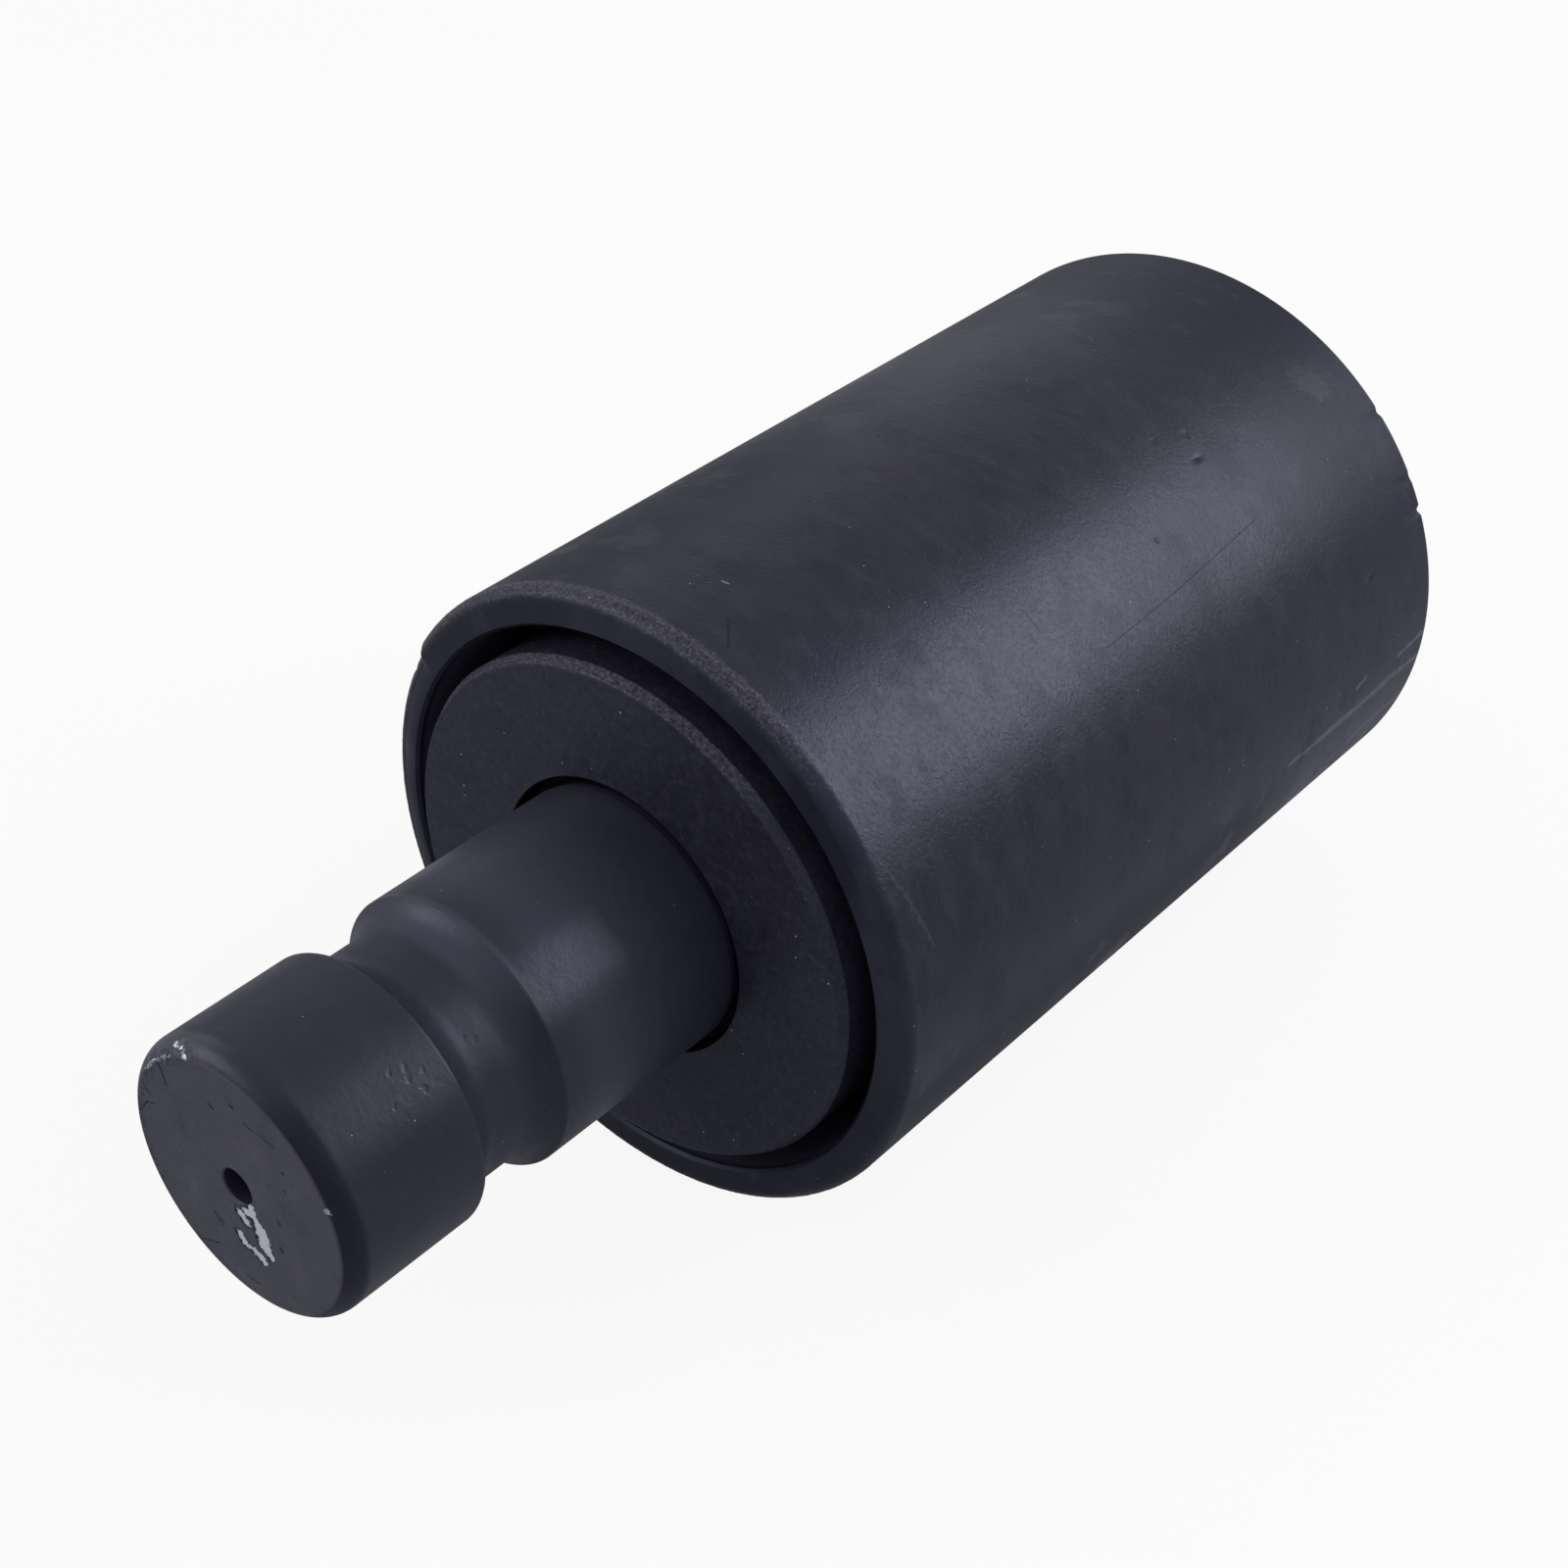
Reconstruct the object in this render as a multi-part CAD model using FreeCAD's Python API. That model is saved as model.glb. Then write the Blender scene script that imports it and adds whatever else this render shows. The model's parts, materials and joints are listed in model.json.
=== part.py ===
# Track roller of the carrier kind: a plain cylindrical roller that turns on an oil-filled shaft.
# The shaft stands out on one side only, where a clamp bracket and a cross bolt hold it.
#
# Frame, in millimetres: the roller axis is Y, and +Y points from the bare shaft end to the closed end.
# The origin lies on that axis, in the middle plane of the groove for the cross bolt. +Z is up.

import FreeCAD, Part
import math
import os

# The radii build up from the shaft outwards: shaft, seat, hub, face seal, collar, gap, shell.

# ---------------------------------------------------------------- bare end of the shaft
shaft_diameter = 42.0
shaft_end_length = 30.8            # from the groove's middle to the bare end face
shaft_end_rim_along = 3.2          # rounded rim of the bare end
shaft_end_rim_radial = 1.95
centre_hole_diameter = 5.2
centre_hole_depth = 11.0
centre_hole_sink = 0.7
drill_point_angle = 118.0

bolt_groove_width = 15.0
bolt_groove_depth = 3.0
bolt_groove_floor = 4.0            # flat stretch between the two round flanks
bolt_groove_near_break = 0.8
bolt_groove_far_break = 0.25

# ---------------------------------------------------------------- collar
collar_from_groove = 40.3          # groove's middle to the collar face
collar_seat_step = 1.5             # how far the collar's seat stands above the bare shaft
collar_hub_wall = 5.0
collar_seat_lead = 0.5             # lead-in chamfer at each end of the seat
collar_chamfer_along = 1.6
collar_chamfer_radial = 0.9
collar_relief_depth = 3.5          # open ring round the shaft, behind the collar face
shaft_undercut = 0.3               # grinding undercut in that ring
dowel_diameter = 6.0
dowel_from_collar = 7.2
dowel_depth_in_shaft = 10.5
dowel_below_rim = 0.8
dowel_end_break = 0.6
collar_ring_from_collar = 15.5
collar_ring_groove_width = 3.8
collar_ring_groove_depth = 2.4
collar_ring_section = 2.8

# ---------------------------------------------------------------- face seal
seal_plane_from_collar = 21.0
seal_hub_gap = 2.0                 # radial, between the hub and the metal rings
seal_back_wall = 1.45              # metal ring's wall at its back end
seal_ring_height = 9.0
seal_flange_thickness = 2.8
seal_flange_height = 4.2
seal_ramp_rise = 2.1               # from a ring's back end to the housing lip
seal_lip_setback = 3.0             # housing lip behind the running plane
seal_lip_wall = 2.25
seal_housing_floor_gap = 1.0       # behind a ring's back end
seal_film = 0.02                   # oil film between the two rings, each side of the plane
toric_room = 5.5                   # radial, between a ring's ramp and its housing's ramp
toric_section = 6.4
toric_setback = 6.1

# ---------------------------------------------------------------- shell
shell_length = 142.0
shell_behind_collar = 2.6          # the shell's near face, behind the collar face
labyrinth_gap = 3.45               # radial, between the collar and the shell's mouth
shell_mouth_wall = 5.75
shell_near_rounding = 1.9
shell_far_chamfer = 0.6
mouth_edge_break = 0.5

# ---------------------------------------------------------------- bearing
journal_step = 1.0                 # how far the journal lies below the bare shaft
journal_clearance = 0.06           # radial, running
bush_wall = 3.44
bush_flange_past_hub = 1.1
bush_flange_thickness = 2.0
bush_entry_chamfer = 0.8
bush_seat_lead = 0.4               # lead-in chamfer of the shell's bore for each bush
bush_oil_groove_count = 4
bush_oil_groove_radius = 1.4
bush_oil_groove_margin = 5.0       # plain bearing surface left at each end of a groove
oil_chamber_length = 17.3          # between the two bushes
oil_chamber_depth = 2.0            # radial, outside the bushes' seats
thrust_washer_thickness = 2.5
thrust_washer_past_hub = 0.7
thrust_washer_clearance = 0.15     # radial, on the journal
end_play = 0.3                     # at each thrust washer
shaft_gallery_diameter = 6.0
shaft_cross_hole_diameter = 5.0

# ---------------------------------------------------------------- inner end of the shaft
shaft_inner_chamfer = 0.8
plate_thickness = 5.0
plate_oil_hole_diameter = 8.0
plate_hole_clearance = 0.5         # radial, round each bolt
plate_edge_break = 1.0
bolt_count = 3
bolt_circle_diameter = 25.0
bolt_diameter = 8.0
bolt_thread_clearance = 0.05
bolt_length = 22.0
bolt_head_flats = 13.0
bolt_head_height = 5.3
bolt_crown_angle = 25.0
bolt_hole_spare = 3.0              # tapped hole beyond the bolt's tip
lock_washer_thickness = 2.0
lock_washer_width = 3.4
lock_washer_slit = 1.4
head_to_cover = 1.2

# ---------------------------------------------------------------- closed end
end_chamber_clearance = 1.9        # radial, round the bush flange and the plate
cover_thickness = 8.0
cover_ledge_width = 3.5            # radial width of the step that the cover sits on
cover_clearance = 0.1
cover_edge_break = 0.8
cover_dish_depth = 1.5
cover_boss_width = 3.5             # round the plug's head
cover_rim_width = 6.0
cover_ring_groove_width = 3.8
cover_ring_groove_depth = 2.4
cover_ring_section = 3.0
snap_ring_setback = 3.5            # behind the shell's far face
snap_ring_thickness = 2.5
snap_ring_groove_depth = 2.0
snap_ring_width = 4.3
snap_ring_clearance = 0.1
snap_ring_gap_angle = 40.0
snap_ring_lug_radius = 3.4
snap_ring_eye_diameter = 2.6
plug_diameter = 14.0
plug_thread_clearance = 0.05
plug_short_of_cover = 0.5          # the plug's tip, short of the cover's inner face
plug_head_rise = 2.5
plug_head_height = 3.0
plug_head_break = 0.5
plug_socket_flats = 6.0
plug_socket_depth = 6.0
plug_washer_thickness = 1.5

# ---------------------------------------------------------------- places along the axis
shaft_bare_end = -shaft_end_length
collar_face = collar_from_groove
shell_near = collar_face + shell_behind_collar
shell_far = shell_near + shell_length
seat_start = collar_face + collar_relief_depth
seal_plane = collar_face + seal_plane_from_collar

seal_housing_depth = seal_ring_height + seal_housing_floor_gap
web_near = seal_plane + seal_housing_depth
near_thrust = web_near - bush_flange_thickness - end_play
journal_start = near_thrust - thrust_washer_thickness

snap_outer = shell_far - snap_ring_setback
cover_outer = snap_outer - snap_ring_thickness
cover_inner = cover_outer - cover_thickness
heads_top = cover_inner - head_to_cover
plate_outer = heads_top - bolt_head_height - lock_washer_thickness
shaft_inner_end = plate_outer - plate_thickness
far_thrust = shaft_inner_end - thrust_washer_thickness
web_far = far_thrust - end_play - bush_flange_thickness
oil_chamber_middle = (web_near + web_far) / 2.0
bush_length = (web_far - web_near - oil_chamber_length) / 2.0

# ---------------------------------------------------------------- radii, from the shaft outwards
shaft_radius = shaft_diameter / 2.0
seat_radius = shaft_radius + collar_seat_step
hub_radius = seat_radius + collar_hub_wall
seal_bore_radius = hub_radius + seal_hub_gap
ring_back_radius = seal_bore_radius + seal_back_wall
ramp_slope = seal_ramp_rise / (seal_ring_height - seal_lip_setback)
crown_slope = math.tan(math.radians(bolt_crown_angle))
collar_radius = ring_back_radius + seal_ramp_rise + toric_room + seal_lip_wall
mouth_radius = collar_radius + labyrinth_gap
shell_radius = mouth_radius + shell_mouth_wall

journal_radius = shaft_radius - journal_step
bush_bore_radius = journal_radius + journal_clearance
bush_outer_radius = bush_bore_radius + bush_wall
bush_flange_radius = hub_radius + bush_flange_past_hub
thrust_washer_radius = hub_radius + thrust_washer_past_hub
end_chamber_radius = bush_flange_radius + end_chamber_clearance
cover_bore_radius = end_chamber_radius + cover_ledge_width
snap_groove_radius = cover_bore_radius + snap_ring_groove_depth
bolt_circle_radius = bolt_circle_diameter / 2.0
plug_radius = plug_diameter / 2.0
plug_head_radius = plug_radius + plug_head_rise

AXIS = FreeCAD.Vector(0, 1, 0)
ORIGIN = FreeCAD.Vector(0, 0, 0)
overcut = 1.0                      # how far a cutting tool runs past a face


# ---------------------------------------------------------------- turning tools
def at(along, radius):
    """A point of a turned outline, in the half plane through the axis."""
    return FreeCAD.Vector(radius, along, 0)


class Outline:
    """The half section of a turned piece, drawn point by point and then spun about the axis."""

    def __init__(self, along, radius):
        self.start = at(along, radius)
        self.here = self.start
        self.edges = []

    def line(self, along, radius):
        end = at(along, radius)
        self.edges.append(Part.LineSegment(self.here, end).toShape())
        self.here = end
        return self

    def arc(self, along, radius, centre_along, centre_radius):
        """A round stretch to a point, about a given centre, the short way round."""
        end = at(along, radius)
        centre = at(centre_along, centre_radius)
        reach = (self.here - centre).Length
        halfway = (self.here + end) / 2.0 - centre
        middle = centre + halfway * (reach / halfway.Length)
        self.edges.append(Part.Arc(self.here, middle, end).toShape())
        self.here = end
        return self

    def turned(self):
        self.edges.append(Part.LineSegment(self.here, self.start).toShape())
        face = Part.Face(Part.Wire(self.edges))
        return face.revolve(ORIGIN, AXIS, 360.0)


def tube(start, end, inner, outer):
    """A plain turned ring between two places along the axis."""
    return Outline(start, inner).line(end, inner).line(end, outer).line(start, outer).turned()


def rod(start, end, radius, x=0.0, z=0.0):
    """A round bar parallel to the axis."""
    return Part.makeCylinder(radius, end - start, FreeCAD.Vector(x, start, z), AXIS)


def rims(solid, along, radius):
    """The circular edges of a turned piece at one place."""
    found = []
    for edge in solid.Edges:
        curve = edge.Curve
        if not isinstance(curve, Part.Circle):
            continue
        if abs(curve.Center.y - along) < 1e-3 and abs(curve.Radius - radius) < 1e-3:
            found.append(edge)
    return found


def chamfered(solid, size, *places):
    edges = [edge for place in places for edge in rims(solid, *place)]
    return solid.makeChamfer(size, edges)


def rounded(solid, radius, *places):
    edges = [edge for place in places for edge in rims(solid, *place)]
    return solid.makeFillet(radius, edges)


def squeezed_ring(middle, inner, outer, section):
    """A rubber ring of round section, pressed flat between an inner and an outer wall."""
    centre_radius = (inner + outer) / 2.0
    ring = Part.makeTorus(centre_radius, section / 2.0, FreeCAD.Vector(0, middle, 0), AXIS)
    return ring.common(tube(middle - section, middle + section, inner, outer)).Solids[0]


def hexagon(flats, start, end, x=0.0, z=0.0):
    """A hexagonal bar parallel to the axis."""
    sides = 6
    corner = flats / 2.0 / math.cos(math.pi / sides)
    points = []
    for side in range(sides + 1):
        turn = 2.0 * math.pi * side / sides
        points.append(FreeCAD.Vector(x + corner * math.cos(turn), start, z + corner * math.sin(turn)))
    return Part.Face(Part.makePolygon(points)).extrude(AXIS * (end - start))


def around(count, radius):
    """Evenly spaced places on a circle about the axis, as (x, z), the first straight up."""
    for step in range(count):
        turn = 2.0 * math.pi * step / count
        yield radius * math.sin(turn), radius * math.cos(turn)


# ---------------------------------------------------------------- face seal
def seal_place(side, setback):
    """Along the axis: a distance behind the running plane, on the collar (-1) or the shell (+1) side."""
    return seal_plane + side * setback


def ring_ramp(setback):
    """Radius of a metal ring's ramp at a distance behind the running plane."""
    return ring_back_radius + (seal_ring_height - setback) * ramp_slope


def housing_ramp(setback):
    return ring_ramp(setback) + toric_room


def seal_ring(side):
    """Metal ring with an L-shaped section: running face, flange and ramp."""
    flange_root = ring_ramp(seal_flange_thickness)
    outline = Outline(seal_place(side, seal_film), seal_bore_radius)
    outline.line(seal_place(side, seal_film), flange_root + seal_flange_height)
    outline.line(seal_place(side, seal_flange_thickness), flange_root + seal_flange_height)
    outline.line(seal_place(side, seal_flange_thickness), flange_root)
    outline.line(seal_place(side, seal_ring_height), ring_back_radius)
    outline.line(seal_place(side, seal_ring_height), seal_bore_radius)
    return outline.turned()


def toric_ring(side):
    """Rubber ring rolled in between the ring's ramp and the housing's ramp, flattened by both."""
    near = seal_flange_thickness
    far = seal_housing_depth
    middle_radius = ring_ramp(toric_setback) + toric_room / 2.0
    centre = FreeCAD.Vector(0, seal_place(side, toric_setback), 0)
    rubber = Part.makeTorus(middle_radius, toric_section / 2.0, centre, AXIS)
    room = Outline(seal_place(side, near), ring_ramp(near))
    room.line(seal_place(side, far), ring_ramp(far))
    room.line(seal_place(side, far), housing_ramp(far))
    room.line(seal_place(side, near), housing_ramp(near))
    return rubber.common(room.turned()).Solids[0]


# ---------------------------------------------------------------- stationary pieces
def axle_shaft():
    half_groove = bolt_groove_width / 2.0
    half_floor = bolt_groove_floor / 2.0
    floor_radius = shaft_radius - bolt_groove_depth
    flank_run = half_groove - half_floor
    flank_radius = (flank_run ** 2 + bolt_groove_depth ** 2) / (2.0 * bolt_groove_depth)
    rim_radius = (shaft_end_rim_along ** 2 + shaft_end_rim_radial ** 2) / (2.0 * shaft_end_rim_radial)
    land_start = shaft_bare_end + shaft_end_rim_along
    undercut_radius = shaft_radius - shaft_undercut

    outline = Outline(shaft_bare_end, 0)
    outline.line(shaft_bare_end, shaft_radius - shaft_end_rim_radial)
    outline.arc(land_start, shaft_radius, land_start, shaft_radius - rim_radius)
    outline.line(-half_groove, shaft_radius)
    outline.arc(-half_floor, floor_radius, -half_floor, floor_radius + flank_radius)
    outline.line(half_floor, floor_radius)
    outline.arc(half_groove, shaft_radius, half_floor, floor_radius + flank_radius)
    outline.line(collar_face, shaft_radius)
    outline.line(collar_face, undercut_radius)
    outline.line(seat_start, undercut_radius)
    outline.line(seat_start, seat_radius)
    outline.line(journal_start, seat_radius)
    outline.line(journal_start, journal_radius)
    outline.line(shaft_inner_end, journal_radius)
    outline.line(shaft_inner_end, 0)
    shaft = outline.turned()
    shaft = rounded(shaft, bolt_groove_near_break, (-half_groove, shaft_radius))
    shaft = rounded(shaft, bolt_groove_far_break, (half_groove, shaft_radius))
    shaft = chamfered(shaft, shaft_inner_chamfer, (shaft_inner_end, journal_radius))
    shaft = chamfered(shaft, collar_seat_lead, (seat_start, seat_radius), (journal_start, seat_radius))

    hole_radius = centre_hole_diameter / 2.0
    hole_floor = shaft_bare_end + centre_hole_depth
    hole = rod(shaft_bare_end - overcut, hole_floor, hole_radius)
    tip_length = hole_radius / math.tan(math.radians(drill_point_angle / 2.0))
    tip = Part.makeCone(hole_radius, 0, tip_length, FreeCAD.Vector(0, hole_floor, 0), AXIS)
    sink = Part.makeCone(hole_radius + centre_hole_sink, hole_radius, centre_hole_sink,
                         FreeCAD.Vector(0, shaft_bare_end, 0), AXIS)
    shaft = shaft.cut(hole).cut(tip).cut(sink)

    gallery = rod(oil_chamber_middle, shaft_inner_end + overcut, shaft_gallery_diameter / 2.0)
    cross = Part.makeCylinder(shaft_cross_hole_diameter / 2.0, shaft_diameter,
                              FreeCAD.Vector(0, oil_chamber_middle, -shaft_radius), FreeCAD.Vector(0, 0, 1))
    shaft = shaft.cut(gallery).cut(cross)
    hole_start = shaft_inner_end + plate_thickness + lock_washer_thickness - bolt_length - bolt_hole_spare
    for x, z in around(bolt_count, bolt_circle_radius):
        shaft = shaft.cut(rod(hole_start, shaft_inner_end + overcut, bolt_diameter / 2.0, x, z))
    return shaft.cut(dowel_room())


def dowel_room():
    """The radial hole that the dowel fills, from inside the shaft to past the collar's rim."""
    bottom = seat_radius - dowel_depth_in_shaft
    return Part.makeCylinder(dowel_diameter / 2.0, collar_radius + overcut - bottom,
                             FreeCAD.Vector(0, collar_face + dowel_from_collar, bottom),
                             FreeCAD.Vector(0, 0, 1))


def seal_collar():
    floor = seal_place(-1, seal_housing_depth)
    lip = seal_place(-1, seal_lip_setback)
    outline = Outline(collar_face, seat_radius)
    outline.line(collar_face, collar_radius - collar_chamfer_radial)
    outline.line(collar_face + collar_chamfer_along, collar_radius)
    outline.line(lip, collar_radius)
    outline.line(lip, housing_ramp(seal_lip_setback))
    outline.line(floor, housing_ramp(seal_housing_depth))
    outline.line(floor, hub_radius)
    outline.line(journal_start, hub_radius)
    outline.line(journal_start, seat_radius)
    collar = outline.turned()
    middle = collar_face + collar_ring_from_collar
    half = collar_ring_groove_width / 2.0
    groove = tube(middle - half, middle + half, seat_radius - overcut,
                  seat_radius + collar_ring_groove_depth)
    return collar.cut(groove).cut(dowel_room())


def collar_dowel():
    bottom = seat_radius - dowel_depth_in_shaft
    length = collar_radius - dowel_below_rim - bottom
    pin = Part.makeCylinder(dowel_diameter / 2.0, length,
                            FreeCAD.Vector(0, collar_face + dowel_from_collar, bottom),
                            FreeCAD.Vector(0, 0, 1))
    ends = [edge for edge in pin.Edges if isinstance(edge.Curve, Part.Circle)]
    return pin.makeChamfer(dowel_end_break, ends)


def collar_o_ring():
    return squeezed_ring(collar_face + collar_ring_from_collar, seat_radius,
                         seat_radius + collar_ring_groove_depth, collar_ring_section)


def thrust_washer(start):
    return tube(start, start + thrust_washer_thickness, journal_radius + thrust_washer_clearance,
                thrust_washer_radius)


def retaining_plate():
    plate = tube(shaft_inner_end, plate_outer, plate_oil_hole_diameter / 2.0, hub_radius)
    plate = chamfered(plate, plate_edge_break, (plate_outer, hub_radius))
    for x, z in around(bolt_count, bolt_circle_radius):
        plate = plate.cut(rod(shaft_inner_end - overcut, plate_outer + overcut,
                              bolt_diameter / 2.0 + plate_hole_clearance, x, z))
    return plate


def plate_bolts():
    """Hexagon bolts, heads to +Y, with the corners of each head turned off."""
    under_head = plate_outer + lock_washer_thickness
    top = under_head + bolt_head_height
    shank_radius = bolt_diameter / 2.0 - bolt_thread_clearance
    bolts = []
    for x, z in around(bolt_count, bolt_circle_radius):
        head = hexagon(bolt_head_flats, under_head, top, x, z)
        crown = Part.makeCone(bolt_head_flats / 2.0 + bolt_head_height / crown_slope, bolt_head_flats / 2.0,
                              bolt_head_height, FreeCAD.Vector(x, under_head, z), AXIS)
        shank = rod(under_head - bolt_length, under_head, shank_radius, x, z)
        bolts.append(head.common(crown).fuse(shank).removeSplitter())
    return bolts


def plate_lock_washers():
    """Spring washers, each with its slit."""
    washers = []
    outer = bolt_diameter / 2.0 + lock_washer_width
    for x, z in around(bolt_count, bolt_circle_radius):
        ring = rod(plate_outer, plate_outer + lock_washer_thickness, outer, x, z)
        ring = ring.cut(rod(plate_outer, plate_outer + lock_washer_thickness, bolt_diameter / 2.0, x, z))
        slit = Part.makeBox(outer, lock_washer_thickness, lock_washer_slit,
                            FreeCAD.Vector(x, plate_outer, z - lock_washer_slit / 2.0))
        washers.append(ring.cut(slit))
    return washers


# ---------------------------------------------------------------- turning pieces
def roller_shell():
    lip = seal_place(1, seal_lip_setback)
    chamber_radius = bush_outer_radius + oil_chamber_depth
    chamber_near = web_near + bush_length
    chamber_far = web_far - bush_length
    outline = Outline(shell_near, mouth_radius)
    outline.line(shell_near, shell_radius)
    outline.line(shell_far, shell_radius)
    outline.line(shell_far, cover_bore_radius)
    outline.line(snap_outer, cover_bore_radius)
    outline.line(snap_outer, snap_groove_radius)
    outline.line(cover_outer, snap_groove_radius)
    outline.line(cover_outer, cover_bore_radius)
    outline.line(cover_inner, cover_bore_radius)
    outline.line(cover_inner, end_chamber_radius)
    outline.line(web_far, end_chamber_radius)
    outline.line(web_far, bush_outer_radius)
    outline.line(chamber_far, bush_outer_radius)
    outline.line(chamber_far, chamber_radius)
    outline.line(chamber_near, chamber_radius)
    outline.line(chamber_near, bush_outer_radius)
    outline.line(web_near, bush_outer_radius)
    outline.line(web_near, housing_ramp(seal_housing_depth))
    outline.line(lip, housing_ramp(seal_lip_setback))
    outline.line(lip, mouth_radius)
    shell = outline.turned()
    shell = rounded(shell, shell_near_rounding, (shell_near, shell_radius))
    shell = chamfered(shell, mouth_edge_break, (shell_near, mouth_radius))
    shell = chamfered(shell, bush_seat_lead, (web_near, bush_outer_radius), (web_far, bush_outer_radius))
    return chamfered(shell, shell_far_chamfer, (shell_far, shell_radius), (shell_far, cover_bore_radius))


def flanged_bush(flange_outer, side):
    """Steel-backed bearing bush; side +1 has its flange at the closed end, -1 at the collar end."""
    flange_inner = flange_outer - side * bush_flange_thickness
    tail = flange_inner - side * bush_length
    outline = Outline(flange_outer, bush_bore_radius)
    outline.line(flange_outer, bush_flange_radius)
    outline.line(flange_inner, bush_flange_radius)
    outline.line(flange_inner, bush_outer_radius)
    outline.line(tail + side * bush_entry_chamfer, bush_outer_radius)
    outline.line(tail, bush_outer_radius - bush_entry_chamfer)
    outline.line(tail, bush_bore_radius)
    bush = outline.turned()
    groove_start = min(tail, flange_inner) + bush_oil_groove_margin
    groove_end = max(tail, flange_inner) - bush_oil_groove_margin
    for x, z in around(bush_oil_groove_count, bush_bore_radius):
        bush = bush.cut(rod(groove_start, groove_end, bush_oil_groove_radius, x, z))
    return bush


def end_cover():
    outer = cover_bore_radius - cover_clearance
    cover = tube(cover_inner, cover_outer, plug_radius, outer)
    cover = chamfered(cover, cover_edge_break, (cover_inner, outer), (cover_outer, outer))
    dish = tube(cover_outer - cover_dish_depth, cover_outer + overcut,
                plug_head_radius + cover_boss_width, cover_bore_radius - cover_rim_width)
    middle = (cover_inner + cover_outer) / 2.0
    half = cover_ring_groove_width / 2.0
    groove = tube(middle - half, middle + half, cover_bore_radius - cover_ring_groove_depth,
                  cover_bore_radius + overcut)
    return cover.cut(dish).cut(groove)


def cover_o_ring():
    return squeezed_ring((cover_inner + cover_outer) / 2.0, cover_bore_radius - cover_ring_groove_depth,
                         cover_bore_radius, cover_ring_section)


def cover_snap_ring():
    """Open spring ring in its groove, with a lug and an eye at each end for the pliers."""
    outer = snap_groove_radius - snap_ring_clearance
    inner = outer - snap_ring_width
    ring = tube(cover_outer, snap_outer, inner, outer)
    lug_circle = inner
    half_gap = math.radians(snap_ring_gap_angle / 2.0)
    reach = 2.0 * outer
    tool_start = cover_outer - overcut
    middle = FreeCAD.Vector(0, tool_start, 0)
    left = FreeCAD.Vector(-reach * math.sin(half_gap), tool_start, reach * math.cos(half_gap))
    right = FreeCAD.Vector(reach * math.sin(half_gap), tool_start, reach * math.cos(half_gap))
    wedge = Part.Face(Part.makePolygon([middle, left, right, middle]))
    ring = ring.cut(wedge.extrude(AXIS * (snap_ring_thickness + 2.0 * overcut)))
    lug_turn = half_gap + snap_ring_lug_radius / lug_circle
    for side in (-1, 1):
        x = side * lug_circle * math.sin(lug_turn)
        z = lug_circle * math.cos(lug_turn)
        ring = ring.fuse(rod(cover_outer, snap_outer, snap_ring_lug_radius, x, z))
        ring = ring.cut(rod(cover_outer - overcut, snap_outer + overcut, snap_ring_eye_diameter / 2.0, x, z))
    return ring.removeSplitter()


def oil_plug():
    """Screw plug with a collar head and a hexagon socket."""
    under_head = cover_outer + plug_washer_thickness
    top = under_head + plug_head_height
    head = chamfered(rod(under_head, top, plug_head_radius), plug_head_break, (top, plug_head_radius))
    shank = rod(cover_inner + plug_short_of_cover, under_head, plug_radius - plug_thread_clearance)
    plug = head.fuse(shank).removeSplitter()
    return plug.cut(hexagon(plug_socket_flats, top - plug_socket_depth, top + overcut))


def plug_seal_washer():
    return tube(cover_outer, cover_outer + plug_washer_thickness, plug_radius, plug_head_radius)


# ---------------------------------------------------------------- write one file per node
nodes = {
    "axle_shaft": axle_shaft(),
    "seal_collar": seal_collar(),
    "collar_dowel": collar_dowel(),
    "collar_o_ring": collar_o_ring(),
    "fixed_toric_ring": toric_ring(-1),
    "fixed_seal_ring": seal_ring(-1),
    "near_thrust_washer": thrust_washer(journal_start),
    "far_thrust_washer": thrust_washer(far_thrust),
    "retaining_plate": retaining_plate(),
    "plate_bolts": Part.makeCompound(plate_bolts()),
    "plate_lock_washers": Part.makeCompound(plate_lock_washers()),
    "roller_shell": roller_shell(),
    "near_bush": flanged_bush(web_near - bush_flange_thickness, -1),
    "far_bush": flanged_bush(web_far + bush_flange_thickness, 1),
    "rotating_toric_ring": toric_ring(1),
    "rotating_seal_ring": seal_ring(1),
    "end_cover": end_cover(),
    "cover_o_ring": cover_o_ring(),
    "cover_snap_ring": cover_snap_ring(),
    "oil_plug": oil_plug(),
    "plug_seal_washer": plug_seal_washer(),
}

os.makedirs("parts", exist_ok=True)
for name, shape in nodes.items():
    shape.exportStep(os.path.join("parts", name + ".step"))
    print(name, "solids", len(shape.Solids), "valid", shape.isValid(), "volume", round(shape.Volume, 1))
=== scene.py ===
# %% [markdown]
# # A track roller, painted and knocked about
#
# A track roller of the carrier kind holds up the top run of an excavator's track. The heavy
# cylinder turns on a fixed shaft, and the shaft stands out on one side with a groove for a clamp
# bolt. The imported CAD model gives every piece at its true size. This script gives each piece its
# finish, and it turns the pieces that show on a finer lathe than a CAD mesh has.
# The roller's axis is Y, the bare shaft end looks along -Y, and the origin is in the bolt groove.

# %% Load the frame
import json
import math

import bpy
from mathutils import Matrix, Vector

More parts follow.
